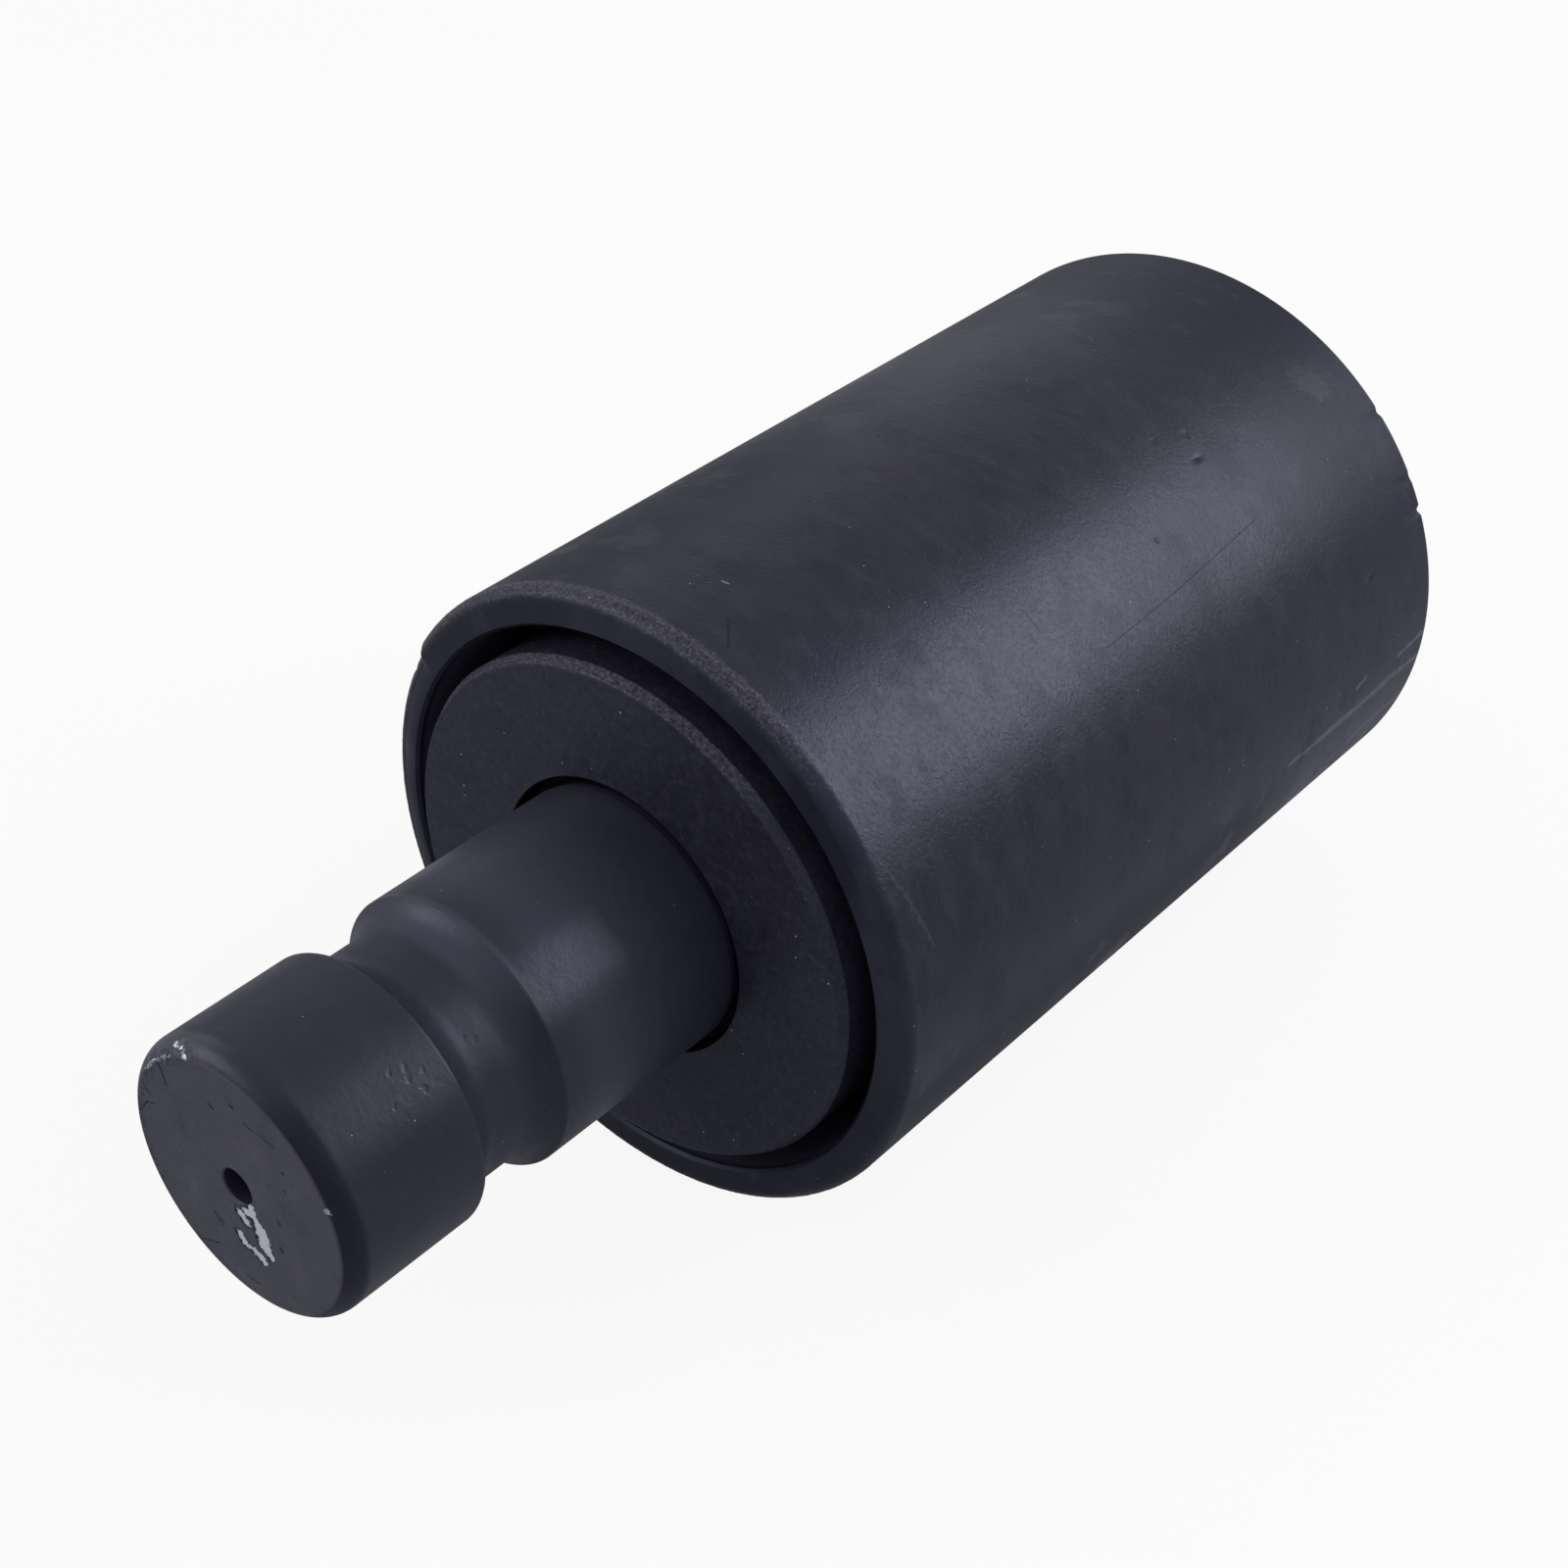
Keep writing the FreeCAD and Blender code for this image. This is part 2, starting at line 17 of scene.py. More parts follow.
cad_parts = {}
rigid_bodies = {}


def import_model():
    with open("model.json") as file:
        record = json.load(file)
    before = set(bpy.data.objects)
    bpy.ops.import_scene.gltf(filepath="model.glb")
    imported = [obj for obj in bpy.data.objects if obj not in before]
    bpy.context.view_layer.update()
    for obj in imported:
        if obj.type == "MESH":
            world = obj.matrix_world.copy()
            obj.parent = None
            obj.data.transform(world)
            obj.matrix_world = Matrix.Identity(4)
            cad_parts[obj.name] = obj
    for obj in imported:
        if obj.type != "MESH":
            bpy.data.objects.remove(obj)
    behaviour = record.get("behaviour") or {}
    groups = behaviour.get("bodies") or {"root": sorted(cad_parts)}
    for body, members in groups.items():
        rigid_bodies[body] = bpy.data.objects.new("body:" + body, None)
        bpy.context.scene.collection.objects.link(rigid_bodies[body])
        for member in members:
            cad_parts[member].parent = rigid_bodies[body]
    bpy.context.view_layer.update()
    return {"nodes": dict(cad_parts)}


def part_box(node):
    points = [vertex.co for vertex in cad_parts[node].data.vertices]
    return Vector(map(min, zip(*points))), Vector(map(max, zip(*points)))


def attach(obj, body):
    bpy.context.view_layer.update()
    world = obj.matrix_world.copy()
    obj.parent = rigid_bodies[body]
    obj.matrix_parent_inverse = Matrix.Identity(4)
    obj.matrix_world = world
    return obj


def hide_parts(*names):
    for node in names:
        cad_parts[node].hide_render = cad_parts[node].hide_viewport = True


for start_object in list(bpy.data.objects):
    bpy.data.objects.remove(start_object)
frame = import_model()

# %% [markdown]
# ## Sizes that the frame gives
#
# A drawing of a turned part is a list of places along the axis and radii. Both are read from the
# boxes of the CAD nodes, so a piece made here always fits its neighbours. They are kept in
# millimetres, as on a workshop drawing, and become metres when a mesh is made.

# %% Places along the axis and radii
mm = 0.001


def ends(node):
    """Where a node starts and ends along the axis, and its largest radius, in millimetres."""
    lowest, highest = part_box(node)
    return lowest.y / mm, highest.y / mm, highest.x / mm


shaft_bare_end, shaft_inner_end, seat_radius = ends("axle_shaft")
collar_face, collar_back, collar_radius = ends("seal_collar")
shell_near, shell_far, shell_radius = ends("roller_shell")
cover_inner, cover_outer, cover_radius = ends("end_cover")
snap_inner, snap_outer, snap_radius = ends("cover_snap_ring")
plug_tip, plug_top, plug_head_radius = ends("oil_plug")
seal_plane = (ends("fixed_seal_ring")[1] + ends("rotating_seal_ring")[0]) / 2.0
print(f"shell {shell_far - shell_near:.1f} long and {2 * shell_radius:.1f} across")
print(f"shaft from {shaft_bare_end:.1f}, collar from {collar_face:.1f}, seal at {seal_plane:.1f}")

# %% [markdown]
# ## The camera
#
# The photograph was taken from above the bare shaft end, to its right. The camera's place, turn
# and focal length were fitted to the outlines of the shaft and the shell, so the whole frame is
# written down as one position, one azimuth, one elevation and one lens.

# %% Camera
camera_place = Vector((0.20574, -0.16891, 0.23477))
camera_azimuth, camera_elevation = 39.93, 35.85
lens_length, sensor_width = 60.05, 36.0

camera_data = bpy.data.cameras.new("photo_camera")
camera_data.lens = lens_length
camera_data.sensor_width = sensor_width
camera_data.clip_start = 0.01
camera = bpy.data.objects.new("photo_camera", camera_data)
bpy.context.scene.collection.objects.link(camera)
camera.location = camera_place
camera.rotation_euler = (math.radians(90.0 - camera_elevation), 0.0, math.radians(camera_azimuth))
bpy.context.scene.camera = camera
bpy.context.scene.view_settings.view_transform = "Standard"
print("camera stands", round(camera_place.length, 3), "m from the groove")

# %% [markdown]
# ## Helpers for shader nodes
#
# A material is a graph, and a graph is easier to read when one line makes one node with all its
# inputs. These helpers take plain values and other nodes' outputs alike. A socket goes by its
# name, or by its number where several sockets share a name.


# %% Node helpers
def add_node(tree, kind, inputs=None, **settings):
    """One shader node, with its settings, its values and its links."""
    made = tree.nodes.new(kind)
    for key, value in settings.items():
        setattr(made, key, value)
    for socket, value in (inputs or {}).items():
        if isinstance(value, bpy.types.NodeSocket):
            tree.links.new(value, made.inputs[socket])
        else:
            made.inputs[socket].default_value = value
    return made


def calculate(tree, operation, *values):
    """A Math node's result."""
    return add_node(tree, "ShaderNodeMath", dict(enumerate(values)), operation=operation).outputs[0]


def vector_math(tree, operation, *values):
    """A Vector Math node's outputs."""
    return add_node(tree, "ShaderNodeVectorMath", dict(enumerate(values)), operation=operation).outputs


def fade(tree, value, start, stop, low=0.0, high=1.0):
    """Low until value reaches start, high from stop on, and a soft step between them."""
    inputs = {"Value": value, "From Min": start, "From Max": stop, "To Min": low, "To Max": high}
    return add_node(tree, "ShaderNodeMapRange", inputs, interpolation_type="SMOOTHSTEP").outputs[0]


def noise(tree, vector, blobs_per_metre, detail=2.0, roughness=0.5):
    """Cloudy noise with its own fineness along x, y and z."""
    stretched = vector_math(tree, "MULTIPLY", vector, blobs_per_metre)[0]
    inputs = {"Vector": stretched, "Scale": 1.0, "Detail": detail, "Roughness": roughness}
    return add_node(tree, "ShaderNodeTexNoise", inputs).outputs["Fac"]


def mixed(tree, share, first, second):
    """A colour on the way from the first to the second."""
    colour_sockets = {0: share, 6: first, 7: second}
    return add_node(tree, "ShaderNodeMix", colour_sockets, data_type="RGBA").outputs[2]


def new_group(name, inputs, outputs):
    """An empty node group with named sockets; gives the group, what comes in and what goes out."""
    group = bpy.data.node_groups.new(name, "ShaderNodeTree")
    for label, (kind, value) in inputs.items():
        socket = group.interface.new_socket(name=label, in_out="INPUT", socket_type="NodeSocket" + kind)
        socket.default_value = value
    for label in outputs:
        group.interface.new_socket(name=label, in_out="OUTPUT", socket_type="NodeSocketFloat")
    print("group:", name)
    return group, group.nodes.new("NodeGroupInput").outputs, group.nodes.new("NodeGroupOutput").inputs


# %% [markdown]
# ## Where a point lies on a turned piece
#
# Every mark on this roller is easiest to place as a machinist would: so far along the axis, at
# such a radius, at such an angle round it. The group turns Object coordinates into these three.
# Angle is measured from +X towards +Z, and is multiplied by a nominal radius, so that it reads
# as a length of arc and a scratch keeps its width on a cylinder of any size.

# %% Group: place on the roller
nowhere = ("Vector", (0.0, 0.0, 0.0))
group_place, at, out = new_group(
    "place on the roller",
    {"Vector": nowhere, "Nominal radius": ("Float", 0.05)},
    ("Along", "Radius", "Arc"),
)
split = add_node(group_place, "ShaderNodeSeparateXYZ", {0: at["Vector"]}).outputs
across = add_node(group_place, "ShaderNodeCombineXYZ", {0: split["X"], 2: split["Z"]}).outputs[0]
angle_round = calculate(group_place, "ARCTAN2", split["Z"], split["X"])
group_place.links.new(split["Y"], out["Along"])
group_place.links.new(vector_math(group_place, "LENGTH", across)["Value"], out["Radius"])
group_place.links.new(calculate(group_place, "MULTIPLY", angle_round, at["Nominal radius"]), out["Arc"])

# %% [markdown]
# ## A stroke
#
# Scratches, chips and scuffs are all short strokes with a width and a ragged edge. The distance
# from a point to a line segment is the whole trick: drop the point on the segment, keep the foot
# between its two ends, and measure. Noise added to that distance frays the edge. Softness says
# how wide the edge is for the stroke's width: low for a chip, high for a dent or a rubbed place.


# %% Group: stroke
def frayed(tree, gap, at, detail):
    """A distance that wanders by noise, so that the edge it draws is ragged."""
    fray_inputs = {"Vector": at["Vector"], "Scale": at["Grain"], "Detail": detail}
    fray = add_node(tree, "ShaderNodeTexNoise", fray_inputs).outputs["Fac"]
    fray = calculate(tree, "MULTIPLY", calculate(tree, "SUBTRACT", fray, 0.5), at["Ragged"])
    return calculate(tree, "ADD", gap, fray)


group_stroke, at, out = new_group(
    "stroke",
    {
        "Vector": nowhere, "Start": nowhere, "End": nowhere,
        "Half width": ("Float", 0.0005), "Ragged": ("Float", 0.0), "Grain": ("Float", 1500.0),
        "Softness": ("Float", 0.2),
    },
    ("Mask",),
)
never_zero = 1e-12              # keeps the division safe where a stroke is only a point
reach = vector_math(group_stroke, "SUBTRACT", at["Vector"], at["Start"])[0]
run = vector_math(group_stroke, "SUBTRACT", at["End"], at["Start"])[0]
projected = vector_math(group_stroke, "DOT_PRODUCT", reach, run)["Value"]
run_squared = vector_math(group_stroke, "DOT_PRODUCT", run, run)["Value"]
run_squared = calculate(group_stroke, "ADD", run_squared, never_zero)
share = calculate(group_stroke, "DIVIDE", projected, run_squared)
share = calculate(group_stroke, "MINIMUM", calculate(group_stroke, "MAXIMUM", share, 0.0), 1.0)
foot = add_node(group_stroke, "ShaderNodeVectorMath", {0: run, "Scale": share}, operation="SCALE").outputs[0]
gap = frayed(group_stroke, vector_math(group_stroke, "DISTANCE", reach, foot)["Value"], at, 3.0)
soft_part = calculate(group_stroke, "MULTIPLY", at["Half width"], at["Softness"])
outer = calculate(group_stroke, "ADD", at["Half width"], soft_part)
inner = calculate(group_stroke, "SUBTRACT", at["Half width"], soft_part)
group_stroke.links.new(fade(group_stroke, gap, outer, inner), out["Mask"])

# %% [markdown]
# ## A band round an edge
#
# Wear, rough forging skin and missing paint follow an edge all the way round. On a turned piece
# an edge is one point of the half section, so the band is a disc about that point, and noise
# again frays it.

# %% Group: edge band
group_band, at, out = new_group(
    "edge band",
    {
        "Vector": nowhere, "Along": ("Float", 0.0), "Radius": ("Float", 0.0),
        "Edge along": ("Float", 0.0), "Edge radius": ("Float", 0.05),
        "Half width": ("Float", 0.001), "Ragged": ("Float", 0.001), "Grain": ("Float", 900.0),
    },
    ("Mask",),
)
band_outer, band_inner = 1.3, 0.7       # where the band fades, in half widths
here = add_node(group_band, "ShaderNodeCombineXYZ", {0: at["Along"], 1: at["Radius"]}).outputs[0]
edge = add_node(group_band, "ShaderNodeCombineXYZ", {0: at["Edge along"], 1: at["Edge radius"]}).outputs[0]
gap = frayed(group_band, vector_math(group_band, "DISTANCE", here, edge)["Value"], at, 4.0)
outer = calculate(group_band, "MULTIPLY", at["Half width"], band_outer)
inner = calculate(group_band, "MULTIPLY", at["Half width"], band_inner)
group_band.links.new(fade(group_band, gap, outer, inner), out["Mask"])

# %% [markdown]
# ## Cloudy paint
#
# Sprayed paint over machined steel is never even. Wide clouds show where it went on thicker,
# small ones where hands and packing have rubbed it. The group gives both, and a fine orange peel.

# %% Group: clouds
group_clouds, at, out = new_group(
    "paint clouds",
    {"Vector": nowhere, "Seed": ("Float", 0.0)},
    ("Wide", "Small", "Peel"),
)
shifted = vector_math(group_clouds, "ADD", at["Vector"], at["Seed"])[0]
group_clouds.links.new(noise(group_clouds, shifted, (32.0, 32.0, 32.0), 3.0), out["Wide"])
group_clouds.links.new(noise(group_clouds, shifted, (170.0, 260.0, 170.0), 4.0, 0.6), out["Small"])
group_clouds.links.new(noise(group_clouds, shifted, (1500.0, 1500.0, 1500.0), 2.0), out["Peel"])

# %% [markdown]
# ## Turning marks
#
# A lathe tool leaves fine rings. They are thin along the axis and long round it, so noise that
# is very fine along Y and coarse along X and Z gives rings that start and stop, and no seam.

# %% Group: turning marks
group_marks, at, out = new_group(
    "turning marks", {"Vector": nowhere, "Rings per metre": ("Float", 1800.0)}, ("Rings", "Flecks")
)
ring_scale = add_node(
    group_marks, "ShaderNodeCombineXYZ", {0: 26.0, 1: at["Rings per metre"], 2: 26.0}
).outputs[0]
group_marks.links.new(noise(group_marks, at["Vector"], ring_scale, 2.0), out["Rings"])
group_marks.links.new(noise(group_marks, at["Vector"], (420.0, 1500.0, 420.0), 3.0, 0.6), out["Flecks"])

# %% [markdown]
# ## Dust
#
# White specks of dust sit on every upper surface. A Voronoi texture scatters one point in each
# cell. A speck shows where a surface passes close to a point, and a random value for each cell
# keeps only some of them and gives them different sizes.

# %% Group: dust
group_dust, at, out = new_group(
    "dust specks",
    {"Vector": nowhere, "Cells per metre": ("Float", 420.0), "Size": ("Float", 0.05)},
    ("Mask",),
)
cells = add_node(group_dust, "ShaderNodeTexVoronoi", {"Vector": at["Vector"], "Scale": at["Cells per metre"]})
chance = add_node(group_dust, "ShaderNodeSeparateColor", {0: cells.outputs["Color"]}).outputs[0]
size = calculate(group_dust, "MULTIPLY", at["Size"], fade(group_dust, chance, 0.55, 1.0))
speck = calculate(group_dust, "LESS_THAN", cells.outputs["Distance"], size)
group_dust.links.new(speck, out["Mask"])

# %% [markdown]
# ## The studio
#
# The roller lies on its shell on a white sweep. Its dark satin paint shows the room more than its
# own colour. A long softbox behind it to the right draws the bright band along the shell and the
# shaft, and a weaker one at the front left lights the end faces. The camera sees pure white all
# round. Reflections see a grey room instead: dark at the foot of its walls, brighter on the far
# wall, with grey paper for a floor. The paper keeps a tenth of real light, which draws the shadow.

# %% World
seen_white = (1.0, 1.0, 1.0, 1.0)
room_in_gloss = (0.46, 0.47, 0.53, 1.0)
room_diffuse = (0.41, 0.41, 0.45, 1.0)
skirting_in_gloss = (0.09, 0.09, 0.11, 1.0)
bright_wall_in_gloss = (0.62, 0.62, 0.68, 1.0)
skirting_end, room_start = 0.04, 0.20   # sines of the elevations between which the walls brighten
bright_wall = Vector((-0.42, 0.90, 0.08)).normalized()      # where the far wall is lit
bright_wall_edge, bright_wall_full = 0.88, 0.99             # cosines of the angle from its middle

world = bpy.data.worlds.new("studio")
bpy.context.scene.world = world
world.use_nodes = True
world.node_tree.nodes.clear()
sky = world.node_tree
ray = add_node(sky, "ShaderNodeLightPath").outputs
direction = add_node(sky, "ShaderNodeTexCoord").outputs["Generated"]
height = add_node(sky, "ShaderNodeSeparateXYZ", {0: direction}).outputs["Z"]
reflected = mixed(sky, fade(sky, height, skirting_end, room_start), skirting_in_gloss, room_in_gloss)
nearness = vector_math(sky, "DOT_PRODUCT", direction, bright_wall)["Value"]
wall_share = fade(sky, nearness, bright_wall_edge, bright_wall_full)
reflected = mixed(sky, wall_share, reflected, bright_wall_in_gloss)
lit = mixed(sky, ray["Is Glossy Ray"], room_diffuse, reflected)
seen = calculate(sky, "MAXIMUM", ray["Is Camera Ray"], ray["Is Transmission Ray"])
background = add_node(sky, "ShaderNodeBackground", {"Color": mixed(sky, seen, lit, seen_white)})
sky_out = add_node(sky, "ShaderNodeOutputWorld")
sky.links.new(background.outputs[0], sky_out.inputs[0])
print("room in reflections:", room_in_gloss[:3])

# %% Softboxes
roller_middle = Vector((0.02, 0.075, 0.02))
lamp_distance = 1.15


def towards(azimuth, elevation):
    """The place at lamp distance from the roller in a direction given in degrees."""
    around, up = math.radians(azimuth), math.radians(elevation)
    return roller_middle + lamp_distance * Vector(
        (math.cos(up) * math.cos(around), math.cos(up) * math.sin(around), math.sin(up)))


def softbox(name, low_end, high_end, width, radiance):
    """A soft lamp that looks at the roller, long from one direction to another, unseen by the camera."""
    low, high = towards(*low_end), towards(*high_end)
    place = (low + high) / 2.0
    back = (place - roller_middle).normalized()
    long_side = (high - low).normalized()
    lamp = bpy.data.lights.new(name, "AREA")
    lamp.shape = "RECTANGLE"
    lamp.size, lamp.size_y = width, (high - low).length
    lamp.energy = radiance * math.pi * lamp.size * lamp.size_y
    stand = bpy.data.objects.new(name, lamp)
    bpy.context.scene.collection.objects.link(stand)
    stand.matrix_world = Matrix.LocRotScale(
        place, Matrix((long_side.cross(back), long_side, back)).transposed(), None)
    stand.visible_camera = False
    print(name, round(lamp.energy, 2), "W at", tuple(round(v, 2) for v in place))


softbox("softbox_right", (41.0, 15.0), (65.0, 44.0), width=0.38, radiance=5.7)
softbox("softbox_front", (205.0, 18.0), (243.0, 30.0), width=0.50, radiance=2.3)

# %% Floor
floor_size = 12.0
floor_paper = (0.40, 0.41, 0.46, 1.0)
floor_shadow_share = 0.10       # how much of the floor's look is real light, which keeps the shadow
floor_glow_in_gloss = 0.12      # how much of its white glow shows in reflections

bpy.ops.mesh.primitive_plane_add(size=floor_size, location=(0.0, 0.0, -shell_radius * mm))
floor = bpy.context.object
floor.name = "floor"
bpy.ops.object.transform_apply(location=True, rotation=True, scale=True)
paper = bpy.data.materials.new("white_sweep")
paper.use_nodes = True
paper.node_tree.nodes.clear()
sweep = paper.node_tree
ray = add_node(sweep, "ShaderNodeLightPath").outputs
in_gloss = calculate(sweep, "MULTIPLY", ray["Is Glossy Ray"], floor_glow_in_gloss)
seen = calculate(sweep, "MAXIMUM", ray["Is Camera Ray"], ray["Is Transmission Ray"])
seen = calculate(sweep, "MAXIMUM", seen, in_gloss)
paper_seen = mixed(sweep, ray["Is Camera Ray"], floor_paper, seen_white)
matt = add_node(sweep, "ShaderNodeBsdfDiffuse", {"Color": paper_seen}).outputs[0]
white = add_node(sweep, "ShaderNodeEmission", {"Color": seen_white, "Strength": 1.0}).outputs[0]
kept = calculate(sweep, "MULTIPLY", seen, 1.0 - floor_shadow_share)
blend = add_node(sweep, "ShaderNodeMixShader", {0: kept, 1: matt, 2: white}).outputs[0]
sweep_out = add_node(sweep, "ShaderNodeOutputMaterial")
sweep.links.new(blend, sweep_out.inputs["Surface"])
floor.data.materials.append(paper)
print("floor at", -shell_radius, "mm")

# %% [markdown]
# ## The lathe
#
# A turned piece is half a cross section spun round the axis. A single vertex is extruded from
# point to point along the section, the Screw modifier spins it, and the seam is merged. Straight
# stretches can be cut into parts, so that dents and rough skin have vertices to move. Arcs are
# worked out from their centre. The section is drawn in millimetres.


# %% Half section and lathe
class HalfSection:
    """Half the cross section of a turned piece, drawn from point to point in millimetres."""

    def __init__(self, along, radius):
        self.points = [(along, radius)]

    def lines(self, *stops):
        """Straight stretches to one place after another, each given as along, radius and parts."""
        for along, radius, *parts in stops:
            start_along, start_radius = self.points[-1]
            count = parts[0] if parts else 1
            for part in range(1, count + 1):
                share = part / count
                self.points.append((start_along + (along - start_along) * share,
                                    start_radius + (radius - start_radius) * share))

    def arc(self, along, radius, centre_along, centre_radius, parts):
        """A round stretch about a centre to a point, the short way round."""
        start_along, start_radius = self.points[-1]
        size = math.hypot(start_along - centre_along, start_radius - centre_radius)
        start = math.atan2(start_radius - centre_radius, start_along - centre_along)
        stop = math.atan2(radius - centre_radius, along - centre_along)
        turn = (stop - start + math.pi) % (2.0 * math.pi) - math.pi
        for part in range(1, parts + 1):
            angle = start + turn * part / parts
            self.points.append((centre_along + size * math.cos(angle),
                                centre_radius + size * math.sin(angle)))


merge_distance = 0.001 * mm


def edit(piece, mode="VERT"):
    """Opens one piece in edit mode with nothing selected."""
    bpy.ops.object.mode_set(mode="OBJECT")
    bpy.ops.object.select_all(action="DESELECT")
    piece.select_set(True)
    bpy.context.view_layer.objects.active = piece
    bpy.ops.object.mode_set(mode="EDIT")
    bpy.ops.mesh.select_mode(type=mode)
    bpy.ops.mesh.select_all(action="DESELECT")


def clean(piece, smooth_angle=28.0):
    """Merges doubles, turns every face outwards, and smooths all but the sharp corners."""
    edit(piece)
    bpy.ops.mesh.select_all(action="SELECT")
    bpy.ops.mesh.remove_doubles(threshold=merge_distance)
    bpy.ops.mesh.normals_make_consistent(inside=False)
    bpy.ops.object.mode_set(mode="OBJECT")
    bpy.ops.object.shade_smooth_by_angle(angle=math.radians(smooth_angle))


def apply_modifier(piece, kind, **settings):
    """Adds one modifier and applies it."""
    bpy.ops.object.select_all(action="DESELECT")
    piece.select_set(True)
    bpy.context.view_layer.objects.active = piece
    modifier = piece.modifiers.new(kind.lower(), kind)
    for key, value in settings.items():
        setattr(modifier, key, value)
    bpy.ops.object.modifier_apply(modifier=modifier.name)


def turned(name, section, steps):
    """Spins a half section about the roller's axis."""
    bpy.ops.object.select_all(action="DESELECT")
    start_along, start_radius = section.points[0]
    bpy.ops.mesh.primitive_plane_add(size=mm, location=(start_radius * mm, start_along * mm, 0.0))
    piece = bpy.context.object
    piece.name = piece.data.name = name
    bpy.ops.object.transform_apply(location=True, rotation=True, scale=True)
    edit(piece)
    bpy.ops.mesh.select_all(action="SELECT")
    bpy.ops.mesh.merge(type="CENTER")
    for here, there in zip(section.points, section.points[1:]):
        step = ((there[1] - here[1]) * mm, (there[0] - here[0]) * mm, 0.0)
        bpy.ops.mesh.extrude_vertices_move(TRANSFORM_OT_translate={"value": step})
    bpy.ops.mesh.select_all(action="SELECT")
    bpy.ops.mesh.remove_doubles(threshold=merge_distance)
    bpy.ops.object.mode_set(mode="OBJECT")
    apply_modifier(piece, "SCREW", axis="Y", angle=math.radians(360.0), steps=steps,
                   render_steps=steps, use_merge_vertices=True, merge_threshold=merge_distance)
    clean(piece)
    print(f"{name}: {len(piece.data.vertices)} vertices, {len(piece.data.polygons)} faces")
    return piece


# %% [markdown]
# ## Holes and soft edges
#
# A drilled hole is a cylinder taken away. The Boolean modifier does it after the piece is turned,
# with a cutter that is thrown away afterwards. An edge with no bevel never catches the light, so
# the edges that show get a small one.


# %% Drill, broach and bevel
def bar(radius, start, stop, corners=48):
    """A straight cutter between two points in millimetres, round or with few corners."""
    start, stop = Vector(start) * mm, Vector(stop) * mm
    bpy.ops.object.select_all(action="DESELECT")
    bpy.ops.mesh.primitive_cylinder_add(vertices=corners, radius=radius * mm, depth=(stop - start).length,
                                        location=(start + stop) / 2.0,
                                        rotation=(stop - start).to_track_quat("Z", "X").to_euler())
    return bpy.context.object


def cut(piece, cutter, operation="DIFFERENCE"):
    """Takes a cutter away from a piece, or adds it, and deletes the cutter."""
    apply_modifier(piece, "BOOLEAN", operation=operation, solver="EXACT", object=cutter)
    bpy.data.objects.remove(cutter)


def bevel_ring(piece, along, radius, width, segments=4):
    """Rounds the edge that runs round a piece at one place."""
    edit(piece, "EDGE")
    bpy.ops.object.mode_set(mode="OBJECT")
    near = 0.01
    on_ring = [abs(v.co.y / mm - along) < near and abs(math.hypot(v.co.x, v.co.z) / mm - radius) < near
               for v in piece.data.vertices]
    for edge in piece.data.edges:
        edge.select = on_ring[edge.vertices[0]] and on_ring[edge.vertices[1]]
    bpy.ops.object.mode_set(mode="EDIT")
    bpy.ops.mesh.bevel(offset=width * mm, segments=segments, affect="EDGES")
    bpy.ops.object.mode_set(mode="OBJECT")


def bevel_corners(piece, width):
    """Rounds all the sharp corners of a piece."""
    apply_modifier(piece, "BEVEL", width=width * mm, segments=2, limit_method="ANGLE",
                   angle_limit=math.radians(50.0))


print("lathe, drill, broach and bevel are ready")

# %% [markdown]
# ## Building a finish in layers
#
# A painter thinks in layers: paint, clouds, scratches, dust. The class keeps the colour, the
# roughness, the metal share and the height of the surface so far, and each layer mixes its own
# values in where its mask says. Lengths and heights are in millimetres. Values that are the same
# all over, such as the specular level, are set on the shader itself.


